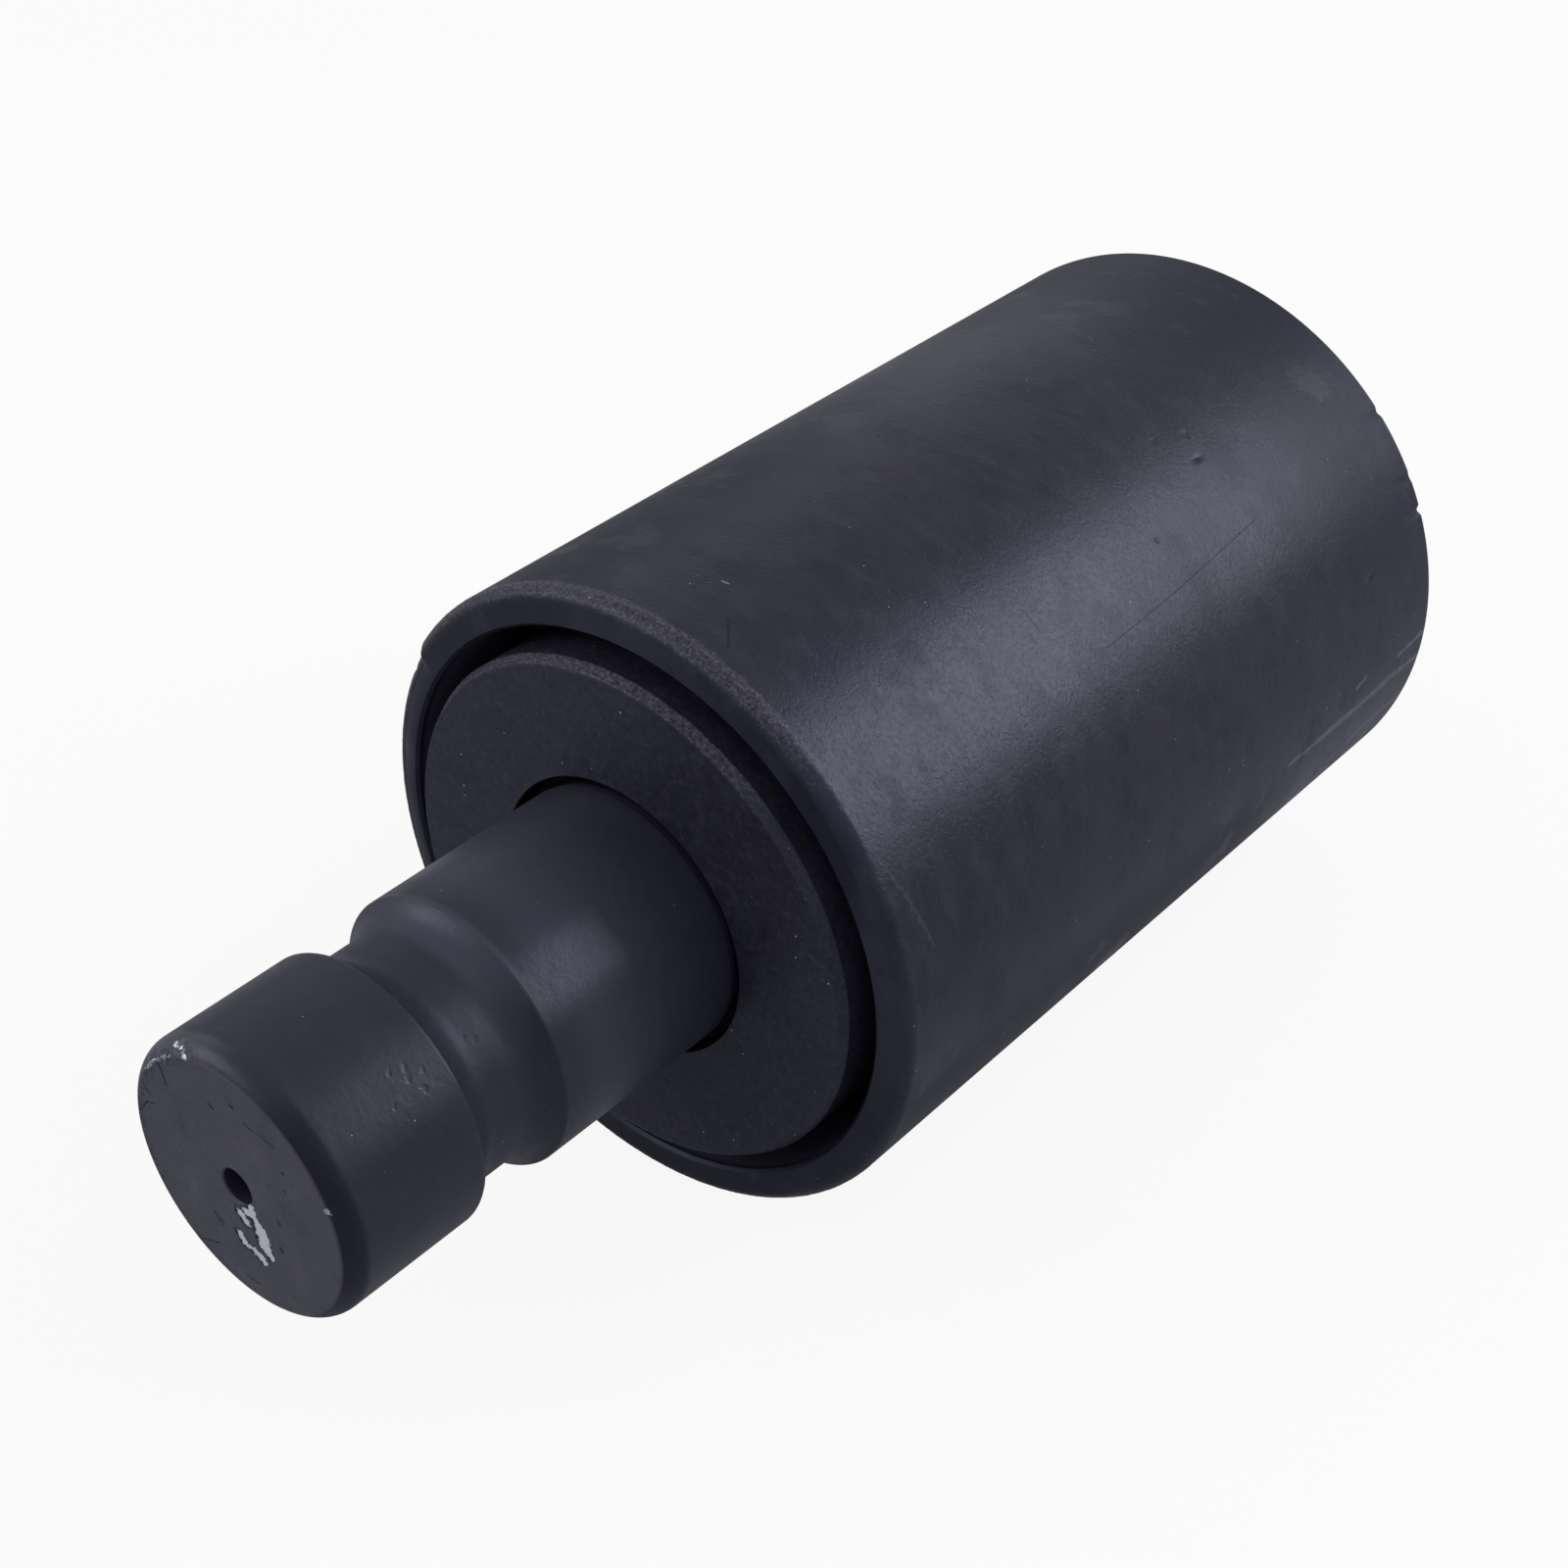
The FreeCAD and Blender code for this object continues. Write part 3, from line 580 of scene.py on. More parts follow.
# %% A finish in layers
class Finish:
    """A material under way, changed layer by layer."""

    def __init__(self, name, colour, roughness, specular=0.5, metallic=0.0, radius=1.0,
                 tint=(1.0, 1.0, 1.0)):
        self.material = bpy.data.materials.new(name)
        self.material.use_nodes = True
        self.tree = self.material.node_tree
        self.tree.nodes.clear()
        self.shader = add_node(self.tree, "ShaderNodeBsdfPrincipled")
        surface = add_node(self.tree, "ShaderNodeOutputMaterial")
        self.tree.links.new(self.shader.outputs[0], surface.inputs["Surface"])
        self.shader.inputs["Specular IOR Level"].default_value = specular
        self.shader.inputs["Specular Tint"].default_value = (*tint, 1.0)
        self.place = add_node(self.tree, "ShaderNodeTexCoord").outputs["Object"]
        axes = add_node(self.tree, "ShaderNodeSeparateXYZ", {0: self.place}).outputs
        self.x, self.z = axes["X"], axes["Z"]
        self.nominal_radius = radius
        on_roller = self.group(group_place, {"Nominal radius": radius * mm})
        self.along, self.radius = on_roller["Along"], on_roller["Radius"]
        self.unrolled = self.flat_place(self.along, on_roller["Arc"])
        self.colour, self.roughness, self.metallic = (*colour, 1.0), roughness, metallic
        self.height = 0.0

    def group(self, group, inputs=None):
        """Places a node group that reads Object coordinates; gives its outputs."""
        inputs = {"Vector": self.place, **(inputs or {})}
        return add_node(self.tree, "ShaderNodeGroup", inputs, node_tree=group).outputs

    def flat_place(self, first, second=0.0):
        """A place on a plane, from two lengths."""
        return add_node(self.tree, "ShaderNodeCombineXYZ", {0: first, 1: second}).outputs[0]

    def noise(self, blobs_per_metre, detail=2.0, roughness=0.5, where=None):
        """Noise in Object coordinates, of one fineness or of three."""
        if isinstance(blobs_per_metre, float):
            blobs_per_metre = (blobs_per_metre,) * 3
        return noise(self.tree, where or self.place, blobs_per_metre, detail, roughness)

    def fade(self, value, start, stop, low=0.0):
        return fade(self.tree, value, start, stop, low)

    def span(self, length, start, stop, low=0.0):
        """A fade over a length, from start to stop in millimetres."""
        return fade(self.tree, length, start * mm, stop * mm, low)

    def both(self, first, *others):
        """One mask that is 1 only where all the given masks are."""
        for other in others:
            first = calculate(self.tree, "MULTIPLY", first, other)
        return first

    def most(self, masks):
        """One mask that is 1 where any of the given masks is."""
        whole = masks[0]
        for mask in masks[1:]:
            whole = calculate(self.tree, "MAXIMUM", whole, mask)
        return whole

    def between(self, share, first, second):
        return add_node(self.tree, "ShaderNodeMix", {0: share, 2: first, 3: second}).outputs[0]

    def layer(self, mask, colour=None, roughness=None, metallic=None, height=None, share=None):
        """Mixes a layer in where the mask is 1, fully or by a share."""
        if share is not None:
            mask = self.both(mask, share)
        if colour is not None:
            self.colour = mixed(self.tree, mask, self.colour, (*colour, 1.0))
        if roughness is not None:
            self.roughness = self.between(mask, self.roughness, roughness)
        if metallic is not None:
            self.metallic = self.between(mask, self.metallic, metallic)
        if height is not None:
            raised = calculate(self.tree, "MULTIPLY", mask, height)
            self.height = calculate(self.tree, "ADD", self.height, raised)

    def on_arc(self, along, degrees):
        """A place on the unrolled surface."""
        return along, math.radians(degrees) * self.nominal_radius

    def stroke(self, start, end, half_width, ragged=0.0, grain=1500.0, where=None, softness=0.2):
        """The mask of a stroke between two places: along and degrees, or millimetres where told."""
        if where is None:
            where, start, end = self.unrolled, self.on_arc(*start), self.on_arc(*end)
        inputs = {
            "Vector": where, "Half width": half_width * mm, "Ragged": ragged * mm,
            "Grain": grain, "Start": Vector((*start, 0.0)[:3]) * mm, "End": Vector((*end, 0.0)[:3]) * mm,
            "Softness": softness,
        }
        return add_node(self.tree, "ShaderNodeGroup", inputs, node_tree=group_stroke).outputs["Mask"]

    def strokes(self, rows, **shared):
        """One mask of several strokes; a row gives what differs, starting with the two places."""
        return self.most([self.stroke(*row, **shared) for row in rows])

    def band(self, edge_along, edge_radius, half_width, ragged, grain=900.0):
        """The mask of a band round an edge."""
        inputs = {
            "Along": self.along, "Radius": self.radius, "Edge along": edge_along * mm,
            "Edge radius": edge_radius * mm, "Half width": half_width * mm,
            "Ragged": ragged * mm, "Grain": grain,
        }
        return self.group(group_band, inputs)["Mask"]

    def done(self):
        """Links what the layers came to."""
        links = {"Base Color": self.colour, "Roughness": self.roughness, "Metallic": self.metallic}
        if isinstance(self.height, bpy.types.NodeSocket):
            bump_inputs = {"Height": self.height, "Distance": mm, "Strength": 1.0}
            links["Normal"] = add_node(self.tree, "ShaderNodeBump", bump_inputs).outputs[0]
        for name, value in links.items():
            if isinstance(value, bpy.types.NodeSocket):
                self.tree.links.new(value, self.shader.inputs[name])
            else:
                self.shader.inputs[name].default_value = value
        print("finish:", self.material.name, len(self.tree.nodes), "nodes")
        return self.material


def dress(piece, material):
    """Gives a piece one finish in its first slot."""
    piece.data.materials.clear()
    piece.data.materials.append(material)


# %% [markdown]
# ## Satin black paint
#
# All the painted pieces share one paint: black with a blue cast, satin, cloudy, a little hammered
# by the shot-blasting below it, with dust on top. Each piece has its own seed and its own
# strength of hammering, so that no two look copied. The tints stay close together: more contrast
# than this would look like rust. Where a forging was never machined, or a saw has cut, a grainy
# skin shows through the paint, with light grains and dark hollows.

# %% Paint
paint_blue = (0.0210, 0.0218, 0.0345)
paint_warm = (0.0265, 0.0240, 0.0360)
paint_grey = (0.0290, 0.0308, 0.0435)
paint_dark = (0.0150, 0.0158, 0.0255)
paint_fill_light = (0.0390, 0.0390, 0.0500)
skin_base, skin_grain = (0.056, 0.053, 0.066), (0.112, 0.107, 0.125)
skin_hollow = (0.018, 0.018, 0.025)
bare_steel_bright = (0.62, 0.62, 0.66)
dark_marks_and_shadow = (0.006, 0.006, 0.009)
dirt_dark = (0.012, 0.012, 0.016)
dust_white = (0.62, 0.62, 0.64)
gloss_blue = (0.70, 0.74, 1.0)


def black_paint(name, radius, seed, roughness=0.34, hammered=0.030):
    """The common paint of the painted pieces, ready for each piece's own marks."""
    finish = Finish(name, paint_blue, roughness, specular=0.40, radius=radius, tint=gloss_blue)
    clouds = finish.group(group_clouds, {"Seed": seed})
    marks = finish.group(group_marks)
    grain = finish.noise(1000.0, 4.0, 0.7)
    finish.layer(finish.fade(clouds["Wide"], 0.46, 0.72), paint_warm, roughness + 0.05)
    finish.layer(finish.fade(clouds["Small"], 0.47, 0.68), paint_grey, roughness + 0.07)
    finish.layer(finish.fade(clouds["Small"], 0.43, 0.30), paint_dark, roughness + 0.03)
    finish.layer(finish.fade(grain, 0.52, 0.68), roughness=roughness - 0.04)
    heights = ((grain, 0.024), (marks["Rings"], 0.004), (finish.noise(430.0, 3.0, 0.6), hammered),
               (clouds["Peel"], 0.012))
    for mask, height in heights:
        finish.layer(mask, height=height)
    return finish


def rough_skin(finish, skin, grain, height):
    """Grainy forging or saw-cut skin: lighter grains, dark hollows, and a height of its own."""
    grit = finish.noise(grain, 2.0, 0.6)
    finish.layer(skin, skin_base, 0.36)
    finish.layer(finish.both(skin, finish.fade(grit, 0.50, 0.64)), skin_grain, 0.33)
    finish.layer(finish.both(skin, finish.fade(grit, 0.46, 0.32)), skin_hollow, 0.46)
    finish.layer(finish.both(skin, grit), height=height)


def dusty(finish, cells=460.0, size=0.040):
    """Specks of dust, the last layer of a painted piece."""
    specks = finish.group(group_dust, {"Cells per metre": cells, "Size": size})["Mask"]
    finish.layer(specks, dust_white, 0.9, 0.0)


print("paint, rough skin and dust are ready")

# %% [markdown]
# ## Knocks in the metal
#
# A nick in a rim changes the outline, so it has to be in the mesh. The faces round it are cut
# smaller, and then one vertex is pushed in and draws its neighbours along, as proportional
# editing does by hand. Forging skin moves many vertices a little, by a cloud texture. A rim that
# lay on the ground is worn back along a part of its round: those vertices go inwards together,
# less and less towards the ends of the worn stretch.


# %% Refine, press and roughen
def refine(piece, place, reach, cuts=3):
    """Cuts the faces within reach of a place into smaller ones."""
    edit(piece, "FACE")
    bpy.ops.object.mode_set(mode="OBJECT")
    place = Vector(place) * mm
    for face in piece.data.polygons:
        face.select = (face.center - place).length < reach * mm
    bpy.ops.object.mode_set(mode="EDIT")
    bpy.ops.mesh.subdivide(number_cuts=cuts)
    bpy.ops.object.mode_set(mode="OBJECT")


def press(piece, place, push, reach):
    """Pushes the surface at a place, less and less out to the reach; all in millimetres."""
    edit(piece)
    bpy.ops.object.mode_set(mode="OBJECT")
    place = Vector(place) * mm
    nearest = min(piece.data.vertices, key=lambda vertex: (vertex.co - place).length_squared)
    nearest.select = True
    bpy.ops.object.mode_set(mode="EDIT")
    bpy.ops.transform.translate(value=Vector(push) * mm, use_proportional_edit=True,
                                proportional_edit_falloff="SMOOTH", proportional_size=reach * mm)
    bpy.ops.object.mode_set(mode="OBJECT")


def on_cylinder(along, degrees, radius):
    """A point on a cylinder about the axis, in millimetres."""
    turn = math.radians(degrees)
    return Vector((radius * math.cos(turn), along, radius * math.sin(turn)))


def knock(piece, along, degrees, radius, depth, reach):
    """A knock towards the axis at a place on a turned piece."""
    place = on_cylinder(along, degrees, radius)
    refine(piece, place, reach * 1.3)
    press(piece, place, -on_cylinder(0.0, degrees, depth), reach)


def weighted(piece, name, weigh):
    """A vertex group with the weight that weigh gives for along, radius and degrees."""
    group = piece.vertex_groups.new(name=name)
    for vertex in piece.data.vertices:
        x, y, z = vertex.co / mm
        weight = weigh(y, math.hypot(x, z), math.degrees(math.atan2(z, x)) % 360.0)
        if weight > 0.0:
            group.add([vertex.index], weight, "REPLACE")
    return group


def roughen(piece, weigh, height, grain):
    """Moves vertices in and out along their normals, as forging skin does."""
    group = weighted(piece, "rough", weigh)
    clouds = bpy.data.textures.new(piece.name + "_skin", "CLOUDS")
    clouds.noise_scale = grain * mm
    clouds.noise_depth = 2
    apply_modifier(piece, "DISPLACE", texture=clouds, texture_coords="LOCAL", direction="NORMAL",
                   strength=height * mm, mid_level=0.5, vertex_group=group.name)
    piece.vertex_groups.clear()


def wear(piece, weigh, depth):
    """Moves vertices inwards along their normals, as wear does."""
    group = weighted(piece, "worn_side", weigh)
    apply_modifier(piece, "DISPLACE", direction="NORMAL", strength=-depth * mm, mid_level=0.0,
                   vertex_group=group.name)
    piece.vertex_groups.clear()


print("knocks, rough skin and wear are ready")

# %% [markdown]
# ## The roller shell
#
# The shell is the heavy cylinder that the track runs on. On the real roller it is a forging,
# turned all over except for the rounding at its open end, which keeps a rough skin. Its bore has
# a seat for each bush, an oil chamber between them, the housing of the face seal at the open
# end, and the seat and the groove of the cover at the other.

# %% Shell: section
mouth_radius = 44.25
mouth_break = 0.5
near_rounding = 2.3
far_chamfer = 0.3
seal_lip_setback = 3.0
seal_housing_depth = 10.0
seal_lip_radius = 38.55
seal_floor_radius = 36.1
bush_flange = 2.0
bush_seat_radius = 23.5
bush_seat_lead = 0.4
oil_chamber_radius = 25.5
end_chamber_radius = 30.5
cover_bore_radius = cover_radius + 0.1
snap_groove_radius = snap_radius + 0.1
shell_steps = 640

near_bush = ends("near_bush")
far_bush = ends("far_bush")
web_near = near_bush[0] + bush_flange
web_far = far_bush[1] - bush_flange
seal_lip = seal_plane + seal_lip_setback
rounding_along = shell_near + near_rounding
rounding_radius = shell_radius - near_rounding

section = HalfSection(shell_near, mouth_radius + mouth_break)
section.lines((shell_near, rounding_radius, 10))
section.arc(rounding_along, shell_radius, rounding_along, rounding_radius, 10)
section.lines(
    (shell_near + 3.0 * near_rounding, shell_radius, 8), (shell_far - far_chamfer, shell_radius, 36),
    (shell_far, shell_radius - far_chamfer, 2), (shell_far, cover_bore_radius + far_chamfer, 10),
    (shell_far - far_chamfer, cover_bore_radius), (snap_outer, cover_bore_radius),
    (snap_outer, snap_groove_radius), (snap_inner, snap_groove_radius),
    (snap_inner, cover_bore_radius), (cover_inner, cover_bore_radius),
    (cover_inner, end_chamber_radius), (web_far, end_chamber_radius),
    (web_far, bush_seat_radius + bush_seat_lead), (web_far - bush_seat_lead, bush_seat_radius),
    (far_bush[0], bush_seat_radius), (far_bush[0], oil_chamber_radius),
    (near_bush[1], oil_chamber_radius), (near_bush[1], bush_seat_radius),
    (web_near + bush_seat_lead, bush_seat_radius), (web_near, bush_seat_radius + bush_seat_lead),
    (web_near, seal_floor_radius), (seal_lip, seal_lip_radius), (seal_lip, mouth_radius, 2),
    (shell_near + mouth_break, mouth_radius, 8), (shell_near, mouth_radius + mouth_break))
shell = turned("shell_turned", section, shell_steps)

# %% Shell: rough skin, wear and knocks
shell_skin_height, shell_skin_grain, shell_skin_fade = 0.11, 0.8, 1.6
rim_wear = 0.75                 # the rim is worn back on the side that lay on the ground
wear_fade = 3.0
wear_start, wear_stop = 147.5, 226.0
shell_knocks = (
    (shell_far, 44.2, 0.40, 1.2), (shell_far, 23.8, 0.65, 1.1), (shell_far, 30.5, 0.20, 1.2),
    (141.8, 55.9, 0.34, 1.0), (166.6, 18.7, 0.30, 0.9),
    (shell_near + 0.6, 148.5, 0.45, 1.5), (shell_near + 0.6, 153.5, 0.30, 1.3),
)


def past_rounding(along, radius):
    """How far past the rounding at the open end a point lies."""
    return max(along - rounding_along, rounding_radius - radius, 0.0)


def near_rounding_skin(along, radius, degrees):
    """1 on the rounding at the open end, fading out just past it."""
    if radius < mouth_radius:
        return 0.0
    return max(0.0, 1.0 - past_rounding(along, radius) / shell_skin_fade)


def worn_rim(along, radius, degrees):
    """1 on the worn stretch of the rim: it starts sharply at a knock and ends softly."""
    if radius <= mouth_radius + mouth_break + 0.01:
        return 0.0
    sharp_start, soft_stop = 2.0, 12.0      # degrees over which the wear sets in and dies away
    ends_off = min((degrees - wear_start) / sharp_start, (wear_stop - degrees) / soft_stop, 1.0)
    return max(0.0, ends_off) * max(0.0, 1.0 - past_rounding(along, radius) / wear_fade) ** 2


roughen(shell, near_rounding_skin, shell_skin_height, shell_skin_grain)
wear(shell, worn_rim, rim_wear)
for along, degrees, depth, reach in shell_knocks:
    knock(shell, along, degrees, shell_radius, depth, reach)
clean(shell)
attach(shell, "roller")
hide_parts("roller_shell")
print("shell:", len(shell.data.polygons), "faces")

# %% [markdown]
# ## The shell's paint
#
# The tread has been handled most. Its paint is duller at the far end, on the near left and low on the right,
# and darker there too, which is painted shade. It is stained in wide patches and finely streaked by the
# lathe. One long scratch runs along it, small dark pits sit beside it, and pale drag marks low on the right
# tell of a pallet.

# %% Shell: dull places, stains and grain
painted_shade_dull = (0.0105, 0.0110, 0.0180)
stain_light, stain_dark = (0.0310, 0.0280, 0.0410), (0.0140, 0.0150, 0.0250)
mouth_painted_fill_light = (0.10, 0.10, 0.13)
scuff_grey = (0.12, 0.12, 0.14)
drag_grey = (0.165, 0.163, 0.195)
tick_white = (0.30, 0.30, 0.32)
shell_pits = ((123.2, 48.2, 0.34), (136.9, 62.8, 0.36), (143.4, 60.5, 0.45))

paint = black_paint("shell_paint", shell_radius, 0.0)
# Duller paint at the far end, on the near left and low on the right; its darker colour there is painted
# shade.
far_end = paint.both(paint.span(paint.along, 140.0, 178.0), paint.span(paint.z, 12.0, 27.0))
near_left = paint.both(paint.span(paint.along, 125.0, 85.0), paint.span(paint.x, 1.0, -15.5))
low_right = paint.both(paint.span(paint.along, 155.0, 130.0), paint.span(paint.z, -2.0, -14.0))
paint.layer(paint.most([far_end, near_left, low_right]), painted_shade_dull, 0.50, share=0.85)
stains = paint.noise((62.0, 90.0, 62.0), 4.0, 0.62)
paint.layer(paint.fade(stains, 0.54, 0.66), stain_light, 0.31, share=0.6)
paint.layer(paint.fade(stains, 0.46, 0.36), stain_dark, 0.42, share=0.7)

on_tread = paint.span(paint.radius, shell_radius - 0.4, shell_radius - 0.1)
streaks = paint.noise((900.0, 1700.0, 900.0), 2.0, 0.6)
paint.layer(paint.both(on_tread, streaks), height=0.024)
dimples = paint.fade(paint.noise(1500.0, 2.0, 0.6), 0.47, 0.37)
paint.layer(paint.both(on_tread, dimples), height=-0.012)
pits = paint.strokes(
    [((along, degrees), (along + 0.1, degrees + 0.4), width) for along, degrees, width in shell_pits],
    ragged=0.3, softness=1.0)
paint.layer(pits, paint_dark, 0.42, share=0.5)
paint.layer(pits, height=-0.08)

# The mouth of the bore lies in the shade of the gap; its lighter grey is painted fill light.
in_mouth = paint.both(paint.span(paint.radius, mouth_radius + 0.95, mouth_radius + 0.65),
                      paint.span(paint.along, 60.0, 58.0),
                      paint.span(paint.along, shell_near + 0.3, shell_near + 2.2))
paint.layer(in_mouth, mouth_painted_fill_light, 0.7)
skin = paint.band(shell_near + near_rounding * 0.7, shell_radius - near_rounding * 0.35, 1.35, 1.0)
# The skin shows fully everywhere but on the right, where it is kept at an eighth: real rough skin, whose
# light grains partly stand in for the highlight they catch, a painted highlight.
rough_skin(paint, paint.both(skin, paint.span(paint.x, 36.0, 24.0, 0.12)), 2300.0, 0.14)

# %% Shell: scratches, scuffs and dust
dark_scratches = paint.strokes([
    ((102.5, 38.6), (120.9, 39.4), 0.06, 0.12, 900.0), ((120.9, 39.4), (144.5, 41.4), 0.07, 0.14, 900.0),
    ((83.2, 80.4), (83.8, 69.8), 0.05, 0.12, 700.0), ((52.3, 77.4), (48.3, 73.3), 0.22, 0.30, 1200.0),
    ((110.0, 74.4), (109.1, 69.3), 0.06, 0.05), ((92.2, 51.7), (92.4, 47.5), 0.06, 0.05),
])
paint.layer(dark_scratches, dark_marks_and_shadow, 0.6, height=-0.015, share=0.75)
light_scuffs = paint.strokes(
    [((46.2, 33.0), (48.6, 24.0), 0.30), ((48.0, 26.0), (50.5, 16.0), 0.25)], ragged=1.7, grain=1300.0)
paint.layer(light_scuffs, scuff_grey, 0.50, share=0.22)
drag_marks = paint.strokes([
    ((143.1, -7.8), (151.9, -7.9), 0.42), ((151.9, -7.9), (166.5, -7.8), 0.66),
    ((166.5, -7.8), (174.9, -7.2), 0.62), ((174.9, -7.2), (184.5, -7.4), 0.52),
    ((167.2, -19.6), (174.7, -17.4), 0.56), ((174.7, -17.4), (184.5, -18.0), 0.44),
    ((162.4, -2.2), (165.6, -1.1), 0.34), ((176.0, -2.8), (184.5, -1.7), 0.40),
], ragged=1.9, grain=520.0, softness=0.9)
paint.layer(drag_marks, drag_grey, 0.46, share=0.8)
paint.layer(paint.stroke((58.0, 84.4), (58.2, 83.3), 0.16, 0.1), tick_white, 0.55, share=0.7)
dusty(paint)
dress(shell, paint.done())

# %% [markdown]
# ## The shaft
#
# The shaft is one ground bar. Its bare end has a rounded rim, a centre hole from the lathe and a
# round-flanked groove for the clamp bolt. Inside the roller it steps up to the collar's seat and
# down to the journal, and it is drilled for oil, for the dowel and for the retaining bolts.

# %% Shaft: section
shaft_radius = 21.0
undercut_radius = 20.7
journal_radius = 20.0
end_face_radius = 19.05
end_rim_along = 3.2
rim_arc_radius = 3.6
centre_hole_radius = 2.7
centre_hole_sink = 0.25
centre_hole_depth = 11.0
drill_tip = 1.56
groove_half = 7.5
groove_floor_half = 2.0
groove_floor_radius = 18.0
flank_radius = 6.54
relief_depth = 3.5
seat_lead = 0.5
gallery_radius = 3.0
inner_chamfer = 0.8
shaft_steps = 480

oil_middle = (web_near + web_far) / 2.0
hole_floor = shaft_bare_end + centre_hole_depth
land_start = shaft_bare_end + end_rim_along
flank_centre = groove_floor_radius + flank_radius
relief_end = collar_face + relief_depth
section = HalfSection(hole_floor + drill_tip, 0.0)
section.lines(
    (hole_floor, centre_hole_radius), (shaft_bare_end + centre_hole_sink, centre_hole_radius, 8),
    (shaft_bare_end, centre_hole_radius + centre_hole_sink, 2), (shaft_bare_end, end_face_radius, 32))
section.arc(land_start, shaft_radius, land_start, shaft_radius - rim_arc_radius, 10)
section.lines((-groove_half, shaft_radius, 24))
section.arc(-groove_floor_half, groove_floor_radius, -groove_floor_half, flank_centre, 14)
section.lines((groove_floor_half, groove_floor_radius, 3))
section.arc(groove_half, shaft_radius, groove_floor_half, flank_centre, 14)
section.lines(
    (collar_face, shaft_radius, 16), (collar_face, undercut_radius), (relief_end, undercut_radius),
    (relief_end, seat_radius - seat_lead), (relief_end + seat_lead, seat_radius),
    (collar_back - seat_lead, seat_radius), (collar_back, seat_radius - seat_lead),
    (collar_back, journal_radius), (shaft_inner_end - inner_chamfer, journal_radius),
    (shaft_inner_end, journal_radius - inner_chamfer), (shaft_inner_end, gallery_radius),
    (oil_middle, gallery_radius), (oil_middle, 0.0))
shaft = turned("shaft_turned", section, shaft_steps)

# %% Shaft: soft groove edges, holes and knocks
groove_near_break, groove_far_break = 0.55, 0.2
cross_hole_radius = 2.5
cross_hole_reach = 30.0
bolt_circle = 12.5
bolt_hole_radius = 4.0
bolt_hole_depth = 18.0
bolt_count = 3
past = 1.0                      # how far a cutter stands out of the surface it enters

bevel_ring(shaft, -groove_half, shaft_radius, groove_near_break)
bevel_ring(shaft, groove_half, shaft_radius, groove_far_break, 2)
cut(shaft, bar(cross_hole_radius, (0.0, oil_middle, -cross_hole_reach), (0.0, oil_middle, cross_hole_reach)))
dowel_low, dowel_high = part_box("collar_dowel")
dowel_along = ((dowel_low + dowel_high) / 2.0 / mm).y
dowel_radius = (dowel_high.x - dowel_low.x) / 2.0 / mm
dowel_foot = (0.0, dowel_along, dowel_low.z / mm)
cut(shaft, bar(dowel_radius, dowel_foot, (0.0, dowel_along, collar_radius + past)))
for bolt in range(bolt_count):
    turn = 2.0 * math.pi * bolt / bolt_count
    x, z = bolt_circle * math.sin(turn), bolt_circle * math.cos(turn)
    hole_bottom = (x, shaft_inner_end - bolt_hole_depth, z)
    cut(shaft, bar(bolt_hole_radius, hole_bottom, (x, shaft_inner_end + past, z)))

rim_knock_radius = end_face_radius + 0.6
rim_knocks = (
    (0.9, 114.0, 0.45, 1.7), (1.9, 112.5, 0.35, 1.3), (0.4, 109.0, 0.30, 1.2),
    (0.2, 133.0, 0.35, 1.4), (0.3, 143.0, 0.35, 1.6), (0.3, 21.0, 0.40, 1.2),
)
for from_end, degrees, depth, reach in rim_knocks:
    knock(shaft, shaft_bare_end + from_end, degrees, rim_knock_radius, depth, reach)
clean(shaft)
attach(shaft, "axle")
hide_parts("axle_shaft")
print("shaft:", len(shaft.data.polygons), "faces")

# %% [markdown]
# ## The shaft's paint and its chips
#
# The lands on both sides of the groove are rubbed smooth where hands have held them, with a few
# shallow dents; the rubbed places are also painted lighter, a painted highlight. The whole shaft is
# painted a step lighter than the common paint as painted fill light, the root land lighter still as
# painted fill light, and the upper part of the groove's far flank lighter as a painted highlight.
# The end face has taken most of the knocks. Paint has flaked off below the centre hole in two
# ragged strips, and the bare steel shines white there, ringed by painted shadows of the torn paint
# edge that are wider on one side. The rounding of the rim is painted lighter on the left, a painted
# highlight, and darker on the right, painted shade. The rim has small bright nicks, and the rest of
# the face pits, hair cracks and smudges. The face is flat, so its strokes are placed by x and z on
# the face itself.

# %% Shaft: lands and groove
rubbed_painted_highlight = (0.044, 0.041, 0.050)
root_painted_fill_light, flank_painted_highlight = (0.068, 0.070, 0.096), (0.088, 0.089, 0.117)
rim_painted_highlight, rim_painted_shade = (0.095, 0.093, 0.110), (0.008, 0.008, 0.011)
dents = (
    (-13.5, 44.8, 0.34, 21.0), (-12.3, 38.4, 0.28, 21.0), (-13.1, 48.6, 0.30, 21.0),
    (-11.1, 44.6, 0.24, 21.0), (-15.3, 50.0, 0.22, 21.0), (-17.2, 39.8, 0.22, 21.0),
    (-16.2, 34.1, 0.18, 21.0), (-2.2, 44.5, 0.28, 18.0), (-0.9, 41.3, 0.28, 18.0),
)

paint = black_paint("shaft_paint", shaft_radius, 0.37, roughness=0.36, hammered=0.055)
# The whole shaft is painted half a step lighter than the common paint: painted fill light.
paint.layer(0.5, paint_fill_light)
# Rubbed places on the lands: smoother paint, and a lighter colour that is a painted highlight.
rubbed_and_highlit = paint.strokes([((-19.0, 44.0), (-13.5, 41.0), 4.4), ((12.0, 44.0), (22.0, 41.0), 4.6)],
                       ragged=7.0, grain=160.0, softness=0.6)
paint.layer(rubbed_and_highlit, rubbed_painted_highlight, 0.29, share=0.8)
